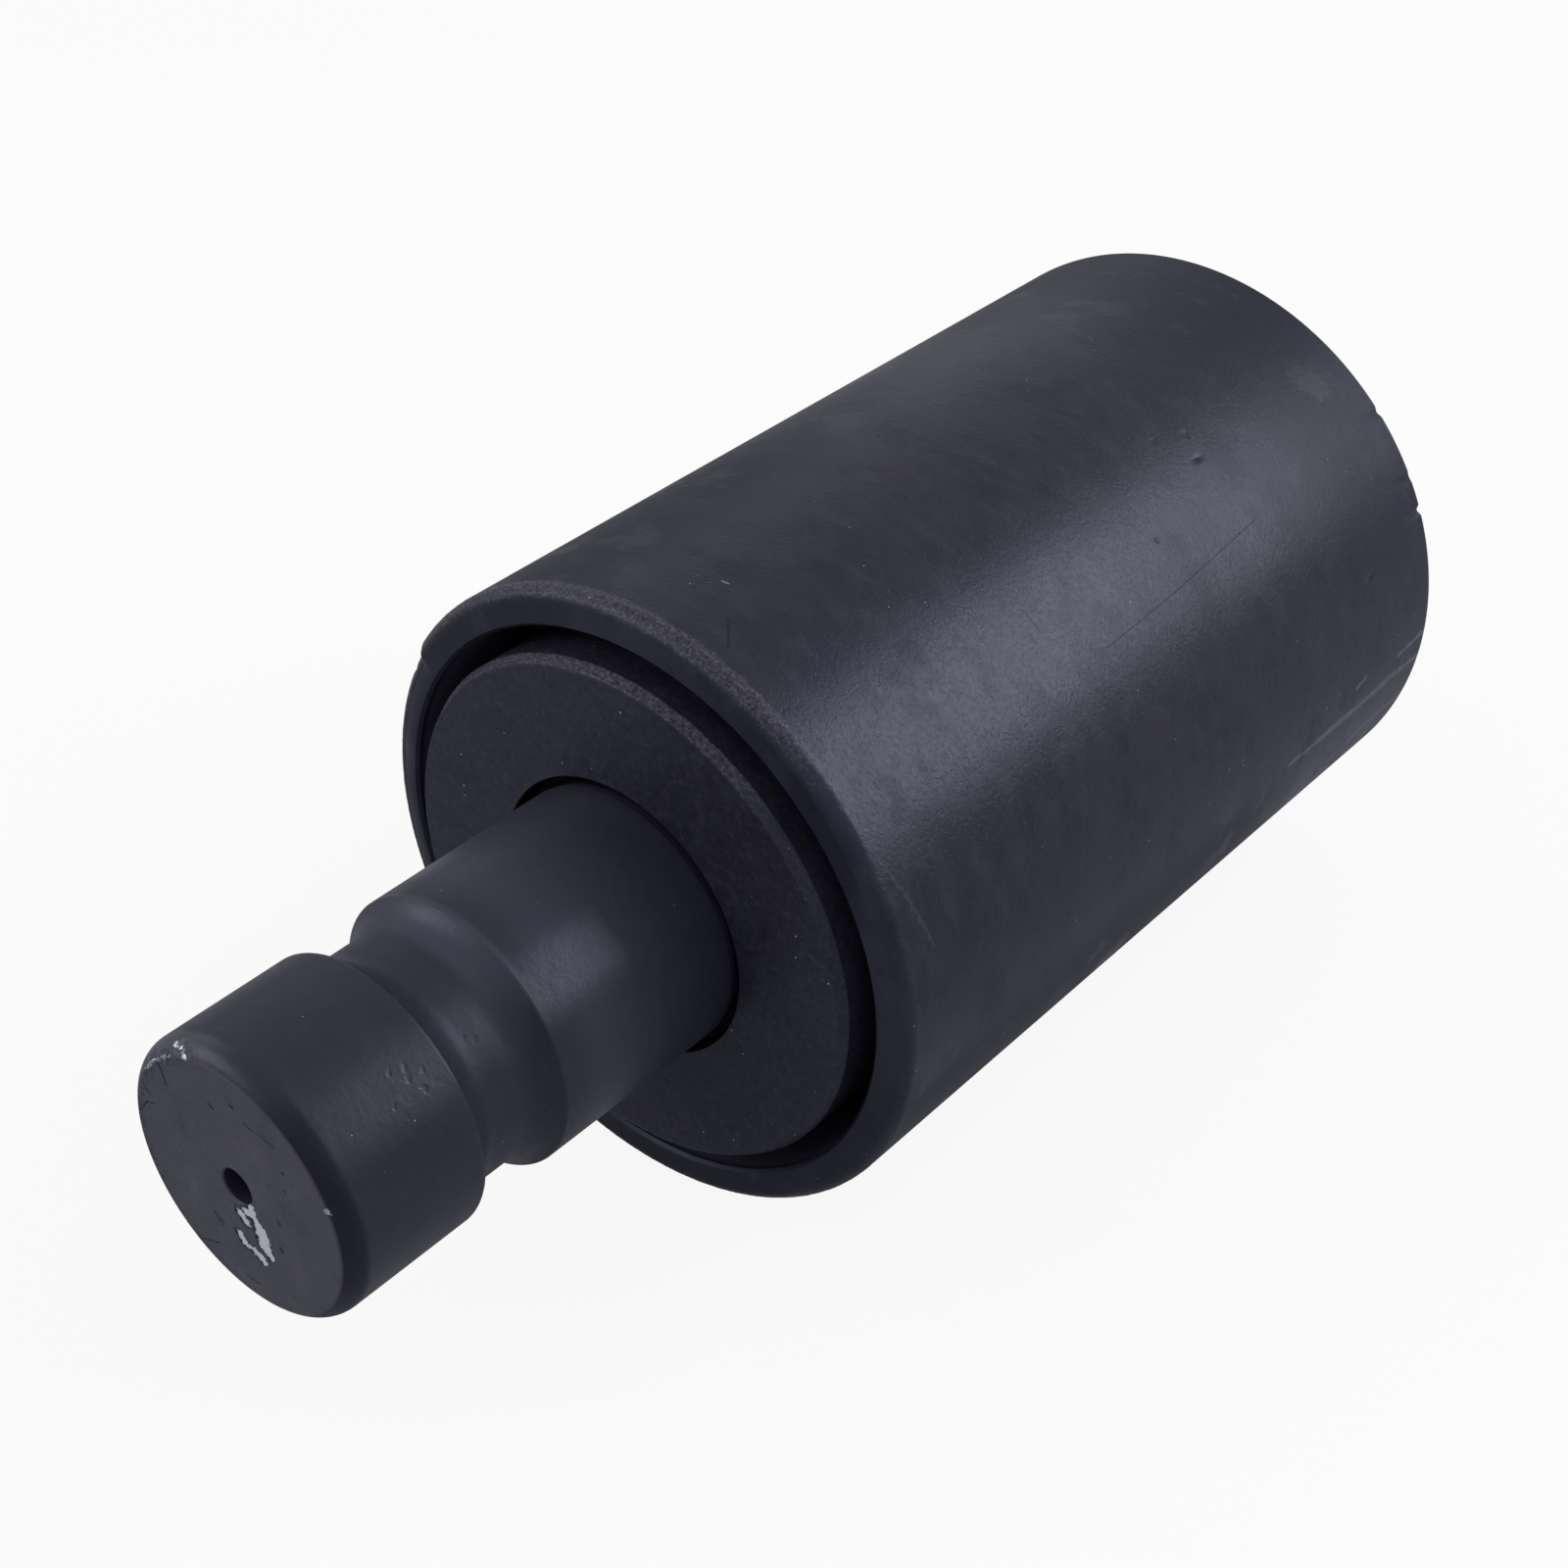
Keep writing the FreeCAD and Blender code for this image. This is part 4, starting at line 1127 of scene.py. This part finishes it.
# The root land is painted lighter and smoother: the lighter colour is painted fill light against the shade of
# the collar and shell.
root_land = paint.both(paint.span(paint.along, 8.0, 16.0), paint.span(paint.along, 36.0, 24.0, 0.3))
paint.layer(root_land, root_painted_fill_light, 0.31, share=0.6)
# The upper part of the groove's far flank is painted lighter: a painted highlight.
far_flank = paint.both(paint.span(paint.along, 2.0, 4.5), paint.span(paint.along, 9.0, 7.5),
                       paint.span(paint.z, 11.0, 18.5))
paint.layer(far_flank, flank_painted_highlight, share=0.6)
in_groove = paint.both(paint.span(paint.along, -8.0, -7.0), paint.span(paint.along, 6.0, 4.0))
paint.layer(in_groove, roughness=0.46, share=0.8)
land_dents = paint.strokes(
    [(on_cylinder(along, degrees, radius), on_cylinder(along + 0.2, degrees + 0.8, radius), width)
     for along, degrees, width, radius in dents],
    ragged=0.7, grain=1300.0, where=paint.place, softness=1.0)
paint.layer(land_dents, paint_dark, 0.42, share=0.5)
paint.layer(land_dents, height=-0.045)
# The rounding of the rim is painted lighter on the left, a painted highlight, and darker on the right,
# painted shade.
rim_round = paint.band(shaft_bare_end + 1.4, 20.2, 1.9, 0.3)
paint.layer(paint.both(rim_round, paint.span(paint.x, 2.0, -6.0)), rim_painted_highlight, 0.36, share=0.8)
paint.layer(paint.both(rim_round, paint.span(paint.x, 6.0, 13.0)), rim_painted_shade, 0.50, share=0.85)

# %% Shaft: end face
face_grey = (0.080, 0.078, 0.091)
smudge_light, smudge_dark = (0.098, 0.095, 0.110), (0.064, 0.063, 0.074)
face_pits = (
    ((-2.84, 12.37), (-2.3, 12.1), 0.28), ((1.4, 14.9), (1.9, 14.7), 0.28),
    ((10.1, 8.8), (10.2, 8.6), 0.18), ((10.0, 5.7), (10.1, 5.4), 0.14),
    ((7.3, -6.1), (7.5, -6.6), 0.30), ((7.6, -1.1), (7.9, -1.6), 0.20),
    ((3.7, 13.3), (5.0, 12.75), 0.13), ((6.3, 13.0), (9.3, 12.5), 0.12),
    ((-5.9, -8.1), (-4.3, -8.9), 0.16), ((-5.6, -8.9), (-4.4, -9.6), 0.12),
    ((-9.7, -15.4), (-6.0, -13.9), 0.10), ((-1.0, -16.5), (1.4, -16.5), 0.13),
    ((-12.4, 13.7), (-11.5, 10.7), 0.22), ((-18.5, 2.2), (-16.5, 4.9), 0.15),
    ((-16.5, 4.9), (-15.2, 5.2), 0.15), ((-17.0, 8.0), (-15.6, 6.6), 0.14),
)

on_end_face = paint.span(paint.along, shaft_bare_end + 0.25, shaft_bare_end + 0.10)
face_place = paint.flat_place(paint.x, paint.z)
paint.layer(on_end_face, face_grey, 0.50)
smudges = paint.noise(120.0, 5.0, 0.65)
paint.layer(paint.both(on_end_face, paint.fade(smudges, 0.5, 0.75)), smudge_light, 0.42)
paint.layer(paint.both(on_end_face, paint.fade(smudges, 0.47, 0.30)), smudge_dark, 0.56)
dirt = paint.noise(1500.0, 3.0, 0.7)
paint.layer(paint.both(on_end_face, paint.fade(dirt, 0.64, 0.70)), dirt_dark, 0.7, height=-0.02)
pits = paint.strokes(face_pits, ragged=0.5, grain=1900.0, where=face_place)
paint.layer(paint.both(pits, on_end_face), dark_marks_and_shadow, 0.7, height=-0.04, share=0.8)
rim_dirt = paint.both(paint.band(shaft_bare_end, end_face_radius, 1.2, 2.0, 800.0),
                      paint.fade(dirt, 0.50, 0.58), paint.span(paint.x, 4.0, -12.0))
paint.layer(rim_dirt, dirt_dark, 0.7, height=-0.01, share=0.55)

# %% Shaft: relief behind the collar's face and flaked paint
relief_painted_shade = (0.005, 0.005, 0.007)
flake_white = (0.80, 0.79, 0.84)
shadow_margin = 0.34
flakes = (
    ((2.3, -2.3), (2.3, -3.6), 0.62), ((2.3, -3.4), (3.4, -4.8), 0.60), ((3.6, -5.4), (4.1, -8.2), 1.10),
    ((4.1, -8.0), (5.0, -9.3), 0.62), ((-0.2, -4.5), (1.0, -5.7), 0.55), ((1.0, -3.5), (1.9, -3.7), 0.50),
    ((-0.9, -8.9), (-0.1, -10.0), 0.60), ((-0.1, -10.0), (1.9, -10.3), 0.34),
    ((1.9, -10.3), (3.3, -11.1), 0.62),
)

# The shaft's surface in the relief lies deep in the collar's hole; its near-black is painted shade.
in_relief = paint.both(paint.span(paint.along, collar_face + 0.9, collar_face + 1.5),
                       paint.span(paint.along, collar_face + 5.0, collar_face + 4.4))
paint.layer(in_relief, relief_painted_shade, 0.9)
# Round each flake, a wider stroke shifted to one side is painted dark: the painted shadow of the torn paint
# edge.
flake_shadow_strokes = [((x0 - 0.25, z0 - 0.05), (x1 - 0.25, z1 - 0.05), width + shadow_margin)
              for (x0, z0), (x1, z1), width in flakes]
flaked, flake_shadow = (paint.strokes(rows, ragged=1.5, where=face_place) for rows in (flakes, flake_shadow_strokes))
paint.layer(paint.both(flake_shadow, on_end_face), dark_marks_and_shadow, 0.55)
paint.layer(paint.both(flaked, on_end_face), flake_white, 0.45, height=-0.10)

# %% Shaft: bright rim nicks and dust
rub_brown = (0.10, 0.085, 0.085)
nicks = (
    ((1.0, 118.0, 20.5), (0.6, 115.0, 20.0), 0.34), ((0.6, 115.0, 20.0), (0.0, 110.0, 19.1), 0.40),
    ((0.1, 145.0, 19.2), (0.1, 134.0, 19.2), 0.22), ((0.1, 133.0, 19.2), (0.0, 121.0, 19.1), 0.20),
    ((0.1, 22.2, 19.0), (0.2, 20.2, 19.2), 0.24),
)


def from_bare_end(from_end, degrees, radius):
    """A point on the rim, with its place along the axis counted from the bare end."""
    return on_cylinder(shaft_bare_end + from_end, degrees, radius)


rim_nicks = paint.strokes(
    [(from_bare_end(*start), from_bare_end(*end), width) for start, end, width in nicks],
    ragged=1.3, where=paint.place)
paint.layer(rim_nicks, bare_steel_bright, 0.42, 0.85, height=-0.06)
paint.layer(paint.band(shaft_bare_end, end_face_radius, 0.16, 0.30, 700.0), rub_brown, 0.45, share=0.35)
dusty(paint, 560.0, 0.048)
dress(shaft, paint.done())

# %% [markdown]
# ## The seal collar
#
# The collar is pressed on the shaft and pinned by a dowel. It closes the open end of the roller
# with a narrow gap, and its inner side holds the still half of the face seal. Its outer edge is
# a rough-cut chamfer that catches the light. The dowel's mouth is filled and painted over.

# %% Collar
collar_chamfer_along = 1.6
collar_chamfer_radial = 0.9
hub_radius = 27.5
ring_groove_half = 1.9
ring_groove_radius = 24.9
ring_groove_along = collar_face + 15.5
dowel_cover = 0.8
collar_skin_height, collar_skin_grain, collar_skin_fade = 0.12, 0.7, 0.7
collar_steps = 560

collar_lip = seal_plane - seal_lip_setback
collar_floor = seal_plane - seal_housing_depth
section = HalfSection(collar_face, seat_radius)
section.lines(
    (collar_face, collar_radius - collar_chamfer_radial, 14),
    (collar_face + collar_chamfer_along, collar_radius, 7),
    (collar_lip, collar_radius, 12), (collar_lip, seal_lip_radius),
    (collar_floor, seal_floor_radius), (collar_floor, hub_radius),
    (collar_back, hub_radius), (collar_back, seat_radius),
    (ring_groove_along + ring_groove_half, seat_radius),
    (ring_groove_along + ring_groove_half, ring_groove_radius),
    (ring_groove_along - ring_groove_half, ring_groove_radius),
    (ring_groove_along - ring_groove_half, seat_radius), (collar_face, seat_radius, 3))
collar = turned("collar_turned", section, collar_steps)


def chamfer_skin(along, radius, degrees):
    """1 on the collar's chamfer, fading out just past its edges."""
    past_edge = max(along - collar_face - collar_chamfer_along,
                    collar_radius - collar_chamfer_radial - radius)
    on_front = radius > hub_radius and along < collar_lip - 4.0
    return max(0.0, min(1.0, 1.0 - past_edge / collar_skin_fade)) if on_front else 0.0


roughen(collar, chamfer_skin, collar_skin_height, collar_skin_grain)
cut(collar, bar(dowel_radius, dowel_foot, (0.0, dowel_along, collar_radius - dowel_cover)))
clean(collar)
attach(collar, "axle")
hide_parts("seal_collar")

# %% Collar: finish
collar_light, collar_dark = (0.043, 0.039, 0.048), (0.017, 0.017, 0.025)
collar_bore_painted_shade = (0.002, 0.002, 0.003)

paint = black_paint("collar_paint", collar_radius, 0.71, roughness=0.38)
dirt = paint.noise(950.0, 5.0, 0.7)
paint.layer(paint.fade(dirt, 0.52, 0.64), collar_light, 0.42)
paint.layer(paint.fade(dirt, 0.46, 0.36), collar_dark, 0.46, height=0.008)
skin = paint.band(collar_face + collar_chamfer_along / 2.0,
                  collar_radius - collar_chamfer_radial / 2.0, 1.0, 0.35)
# The chamfer's skin shows fully everywhere but on the right, where it is kept at an eighth: real rough skin,
# whose light grains partly stand in for the highlight they catch, a painted highlight.
rough_skin(paint, paint.both(skin, paint.span(paint.x, 29.0, 18.0, 0.12)), 1700.0, 0.22)
# The collar's bore is seen only down the dark gap round the shaft; its black is painted shade.
paint.layer(paint.span(paint.radius, seat_radius + 0.12, seat_radius + 0.04), collar_bore_painted_shade, 0.9)
dusty(paint, 520.0, 0.070)
dress(collar, paint.done())

# %% [markdown]
# ## The closed end
#
# A cover with an O-ring closes the other end of the roller. A snap ring holds it, and a plug with
# a copper washer in its middle closes the filling hole. These faces are turned and blackened.

# %% Cover
cover_hole_radius = 7.0
cover_break = 0.8
dish_depth = 1.5
dish_inner, dish_outer = 13.0, 28.0
dish_edge_break, dish_floor_round = 0.3, 0.5
cover_ring_half = 1.9
cover_ring_floor = 31.6
worn_grey = (0.09, 0.09, 0.10)

cover_ring_along = (cover_inner + cover_outer) / 2.0
dish_floor = cover_outer - dish_depth
section = HalfSection(cover_inner, cover_hole_radius)
section.lines(
    (cover_inner, cover_radius - cover_break, 4), (cover_inner + cover_break, cover_radius),
    (cover_ring_along - cover_ring_half, cover_radius),
    (cover_ring_along - cover_ring_half, cover_ring_floor),
    (cover_ring_along + cover_ring_half, cover_ring_floor),
    (cover_ring_along + cover_ring_half, cover_radius),
    (cover_outer - cover_break, cover_radius), (cover_outer, cover_radius - cover_break),
    (cover_outer, dish_outer, 4), (dish_floor, dish_outer), (dish_floor, dish_inner, 10),
    (cover_outer, dish_inner), (cover_outer, cover_hole_radius, 4), (cover_inner, cover_hole_radius))
cover = turned("cover_turned", section, 360)
for along, width, segments in ((cover_outer, dish_edge_break, 3), (dish_floor, dish_floor_round, 4)):
    for radius in (dish_outer, dish_inner):
        bevel_ring(cover, along, radius, width, segments)
clean(cover)
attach(cover, "roller")
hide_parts("end_cover")

paint = black_paint("cover_paint", cover_radius, 0.53, roughness=0.36)
face_rings = paint.noise((1300.0, 1.0, 1.0), where=paint.flat_place(paint.radius))
paint.layer(face_rings, height=0.006)
worn = paint.most([paint.band(cover_outer, radius, 0.35, 0.5) for radius in (dish_outer, dish_inner)])
paint.layer(worn, worn_grey, 0.38, share=0.7)
dusty(paint)
dress(cover, paint.done())

# %% [markdown]
# ## The snap ring
#
# A snap ring is stamped from spring steel: a flat ring with a gap, and a lug with an eye at each
# side of the gap for the pliers. The full ring is turned, the faces in the gap are deleted, the
# two ends are filled, and the lugs are added and drilled.

# %% Snap ring
snap_width = 4.3
gap_degrees = 40.0
lug_radius = 3.4
eye_radius = 1.3
stamped_break = 0.15
snap_inner_radius = snap_radius - snap_width
straight_up = 90.0

section = HalfSection(snap_inner, snap_inner_radius)
section.lines((snap_inner, snap_radius), (snap_outer, snap_radius),
              (snap_outer, snap_inner_radius), (snap_inner, snap_inner_radius))
snap = turned("snap_ring_stamped", section, 360)
edit(snap, "FACE")
bpy.ops.object.mode_set(mode="OBJECT")
for face in snap.data.polygons:
    turn = math.degrees(math.atan2(face.center.z, face.center.x))
    face.select = abs(turn - straight_up) < gap_degrees / 2.0
bpy.ops.object.mode_set(mode="EDIT")
bpy.ops.mesh.delete(type="FACE")
bpy.ops.mesh.select_mode(type="EDGE")
bpy.ops.mesh.select_non_manifold()
bpy.ops.mesh.fill_holes(sides=0)
bpy.ops.object.mode_set(mode="OBJECT")
lug_turn = gap_degrees / 2.0 + math.degrees(lug_radius / snap_inner_radius)
for side in (-1, 1):
    lug_degrees = straight_up + side * lug_turn
    back, front, behind, before = (
        on_cylinder(along, lug_degrees, snap_inner_radius)
        for along in (snap_inner, snap_outer, snap_inner - past, snap_outer + past))
    cut(snap, bar(lug_radius, back, front), "UNION")
    cut(snap, bar(eye_radius, behind, before, 32))
bevel_corners(snap, stamped_break)
clean(snap)
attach(snap, "roller")
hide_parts("cover_snap_ring")

# %% [markdown]
# ## The plug and its washer
#
# The plug is turned from bar with its head in one piece, and its hexagon socket is broached: here
# a six-cornered cutter takes it away. The washer is a flat copper ring with rounded outer edges.

# %% Plug and its washer
plug_radius = 7.0
thread_clearance = 0.05
plug_head_height = 3.0
plug_break = 0.5
plug_lead = 0.6
socket_rim = 4.2
socket_flats = 6.0
socket_depth = 6.0
socket_break = 0.12
washer_round = 0.3

under_head = plug_top - plug_head_height
thread_radius = plug_radius - thread_clearance
section = HalfSection(plug_tip, 0.0)
section.lines(
    (plug_tip, thread_radius - plug_lead), (plug_tip + plug_lead, thread_radius),
    (under_head, thread_radius), (under_head, plug_head_radius),
    (plug_top - plug_break, plug_head_radius), (plug_top, plug_head_radius - plug_break),
    (plug_top, socket_rim, 4), (plug_top, 0.0))
plug = turned("plug_turned", section, 180)
socket_corner = socket_flats / 2.0 / math.cos(math.pi / 6.0)
cut(plug, bar(socket_corner, (0.0, plug_top - socket_depth, 0.0), (0.0, plug_top + past, 0.0), 6))
bevel_corners(plug, socket_break)
clean(plug)
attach(plug, "roller")
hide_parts("oil_plug")

washer_inner, washer_outer, washer_radius = ends("plug_seal_washer")
washer_flat = washer_radius - washer_round
section = HalfSection(washer_inner, plug_radius)
section.lines((washer_inner, washer_flat))
section.arc(washer_inner + washer_round, washer_radius, washer_inner + washer_round, washer_flat, 4)
section.lines((washer_outer - washer_round, washer_radius))
section.arc(washer_outer, washer_flat, washer_outer - washer_round, washer_flat, 4)
section.lines((washer_outer, plug_radius), (washer_inner, plug_radius))
washer = turned("copper_washer_turned", section, 180)
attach(washer, "roller")
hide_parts("plug_seal_washer")

# %% [markdown]
# ## Bare metal
#
# The pieces inside are bare: ground and oiled steel, chilled iron with lapped faces, bronze with
# turning rings, a zinc-plated bolt, a blackened spring ring, a copper washer. One function makes
# them all from a colour, a stain, a roughness and how strongly the tool marks show.


# %% Bare metal
def bare_metal(name, colour, stain, roughness, rings=0.004):
    """Machined metal with rings round it and on its faces, and with stains."""
    clouds_seed = 25.0
    finish = Finish(name, colour, roughness, metallic=1.0)
    clouds = finish.group(group_clouds, {"Seed": clouds_seed})
    marks = finish.group(group_marks)
    worn_colour = tuple(0.8 * share for share in colour)
    finish.layer(finish.fade(clouds["Wide"], 0.42, 0.75), stain, roughness + 0.10)
    finish.layer(finish.fade(clouds["Small"], 0.50, 0.80), worn_colour, roughness + 0.14)
    finish.layer(finish.fade(marks["Flecks"], 0.45, 0.80), roughness=roughness - 0.08)
    finish.layer(marks["Rings"], height=rings)
    finish.layer(finish.noise((1600.0, 1.0, 1.0), where=finish.flat_place(finish.radius)), height=rings)
    return finish.done()


metal_values = {
    "hardened_steel": ((0.46, 0.46, 0.48), (0.36, 0.35, 0.36), 0.30),
    "bare_steel": ((0.50, 0.50, 0.51), (0.40, 0.38, 0.37), 0.36),
    "bolt_steel": ((0.55, 0.56, 0.58), (0.47, 0.46, 0.42), 0.33),
    "spring_steel": ((0.085, 0.085, 0.09), (0.060, 0.060, 0.068), 0.38),
    "plug_steel": ((0.42, 0.42, 0.44), (0.34, 0.33, 0.32), 0.34),
    "seal_iron": ((0.33, 0.33, 0.34), (0.25, 0.24, 0.24), 0.30, 0.003),
    "bearing_bronze": ((0.66, 0.43, 0.20), (0.52, 0.32, 0.16), 0.34),
    "copper": ((0.78, 0.40, 0.26), (0.58, 0.29, 0.19), 0.36),
}
finishes = {name: bare_metal(name, *values) for name, values in metal_values.items()}
dress(snap, finishes["spring_steel"])
dress(plug, finishes["plug_steel"])
dress(washer, finishes["copper"])

# %% [markdown]
# ## Rubber
#
# The O-rings and the toric rings of the face seal are moulded rubber: nearly black, matt, a bit
# greasy, with a faint bloom where the compound has come to the surface.

# %% Rubber
rubber_black = (0.014, 0.014, 0.015)
rubber_bloom, rubber_greasy = (0.026, 0.026, 0.028), (0.020, 0.020, 0.021)

rubber = Finish("seal_rubber", rubber_black, 0.62, specular=0.45)
clouds = rubber.group(group_clouds, {"Seed": 2.3})
rubber.layer(rubber.fade(clouds["Wide"], 0.45, 0.75), rubber_bloom, 0.74)
rubber.layer(rubber.fade(clouds["Small"], 0.52, 0.80), rubber_greasy, 0.48)
rubber.layer(clouds["Peel"], height=0.010)
finishes["seal_rubber"] = rubber.done()

# %% [markdown]
# ## The pieces inside keep their CAD shape
#
# Nothing outside shows more of them than a glint in the gap, so their CAD meshes stay, and each
# gets its finish in the slot that it has.

# %% Finishes of the CAD pieces
inside_pieces = {
    "hardened_steel": ("collar_dowel",),
    "seal_iron": ("fixed_seal_ring", "rotating_seal_ring"),
    "bearing_bronze": ("near_bush", "far_bush", "near_thrust_washer", "far_thrust_washer"),
    "bare_steel": ("retaining_plate",),
    "bolt_steel": ("plate_bolts", "plate_lock_washers"),
    "seal_rubber": ("collar_o_ring", "cover_o_ring", "fixed_toric_ring", "rotating_toric_ring"),
}
for finish_name, names in inside_pieces.items():
    for name in names:
        for slot in frame["nodes"][name].material_slots:
            slot.material = finishes[finish_name]
print("CAD pieces dressed:", sum(len(names) for names in inside_pieces.values()))
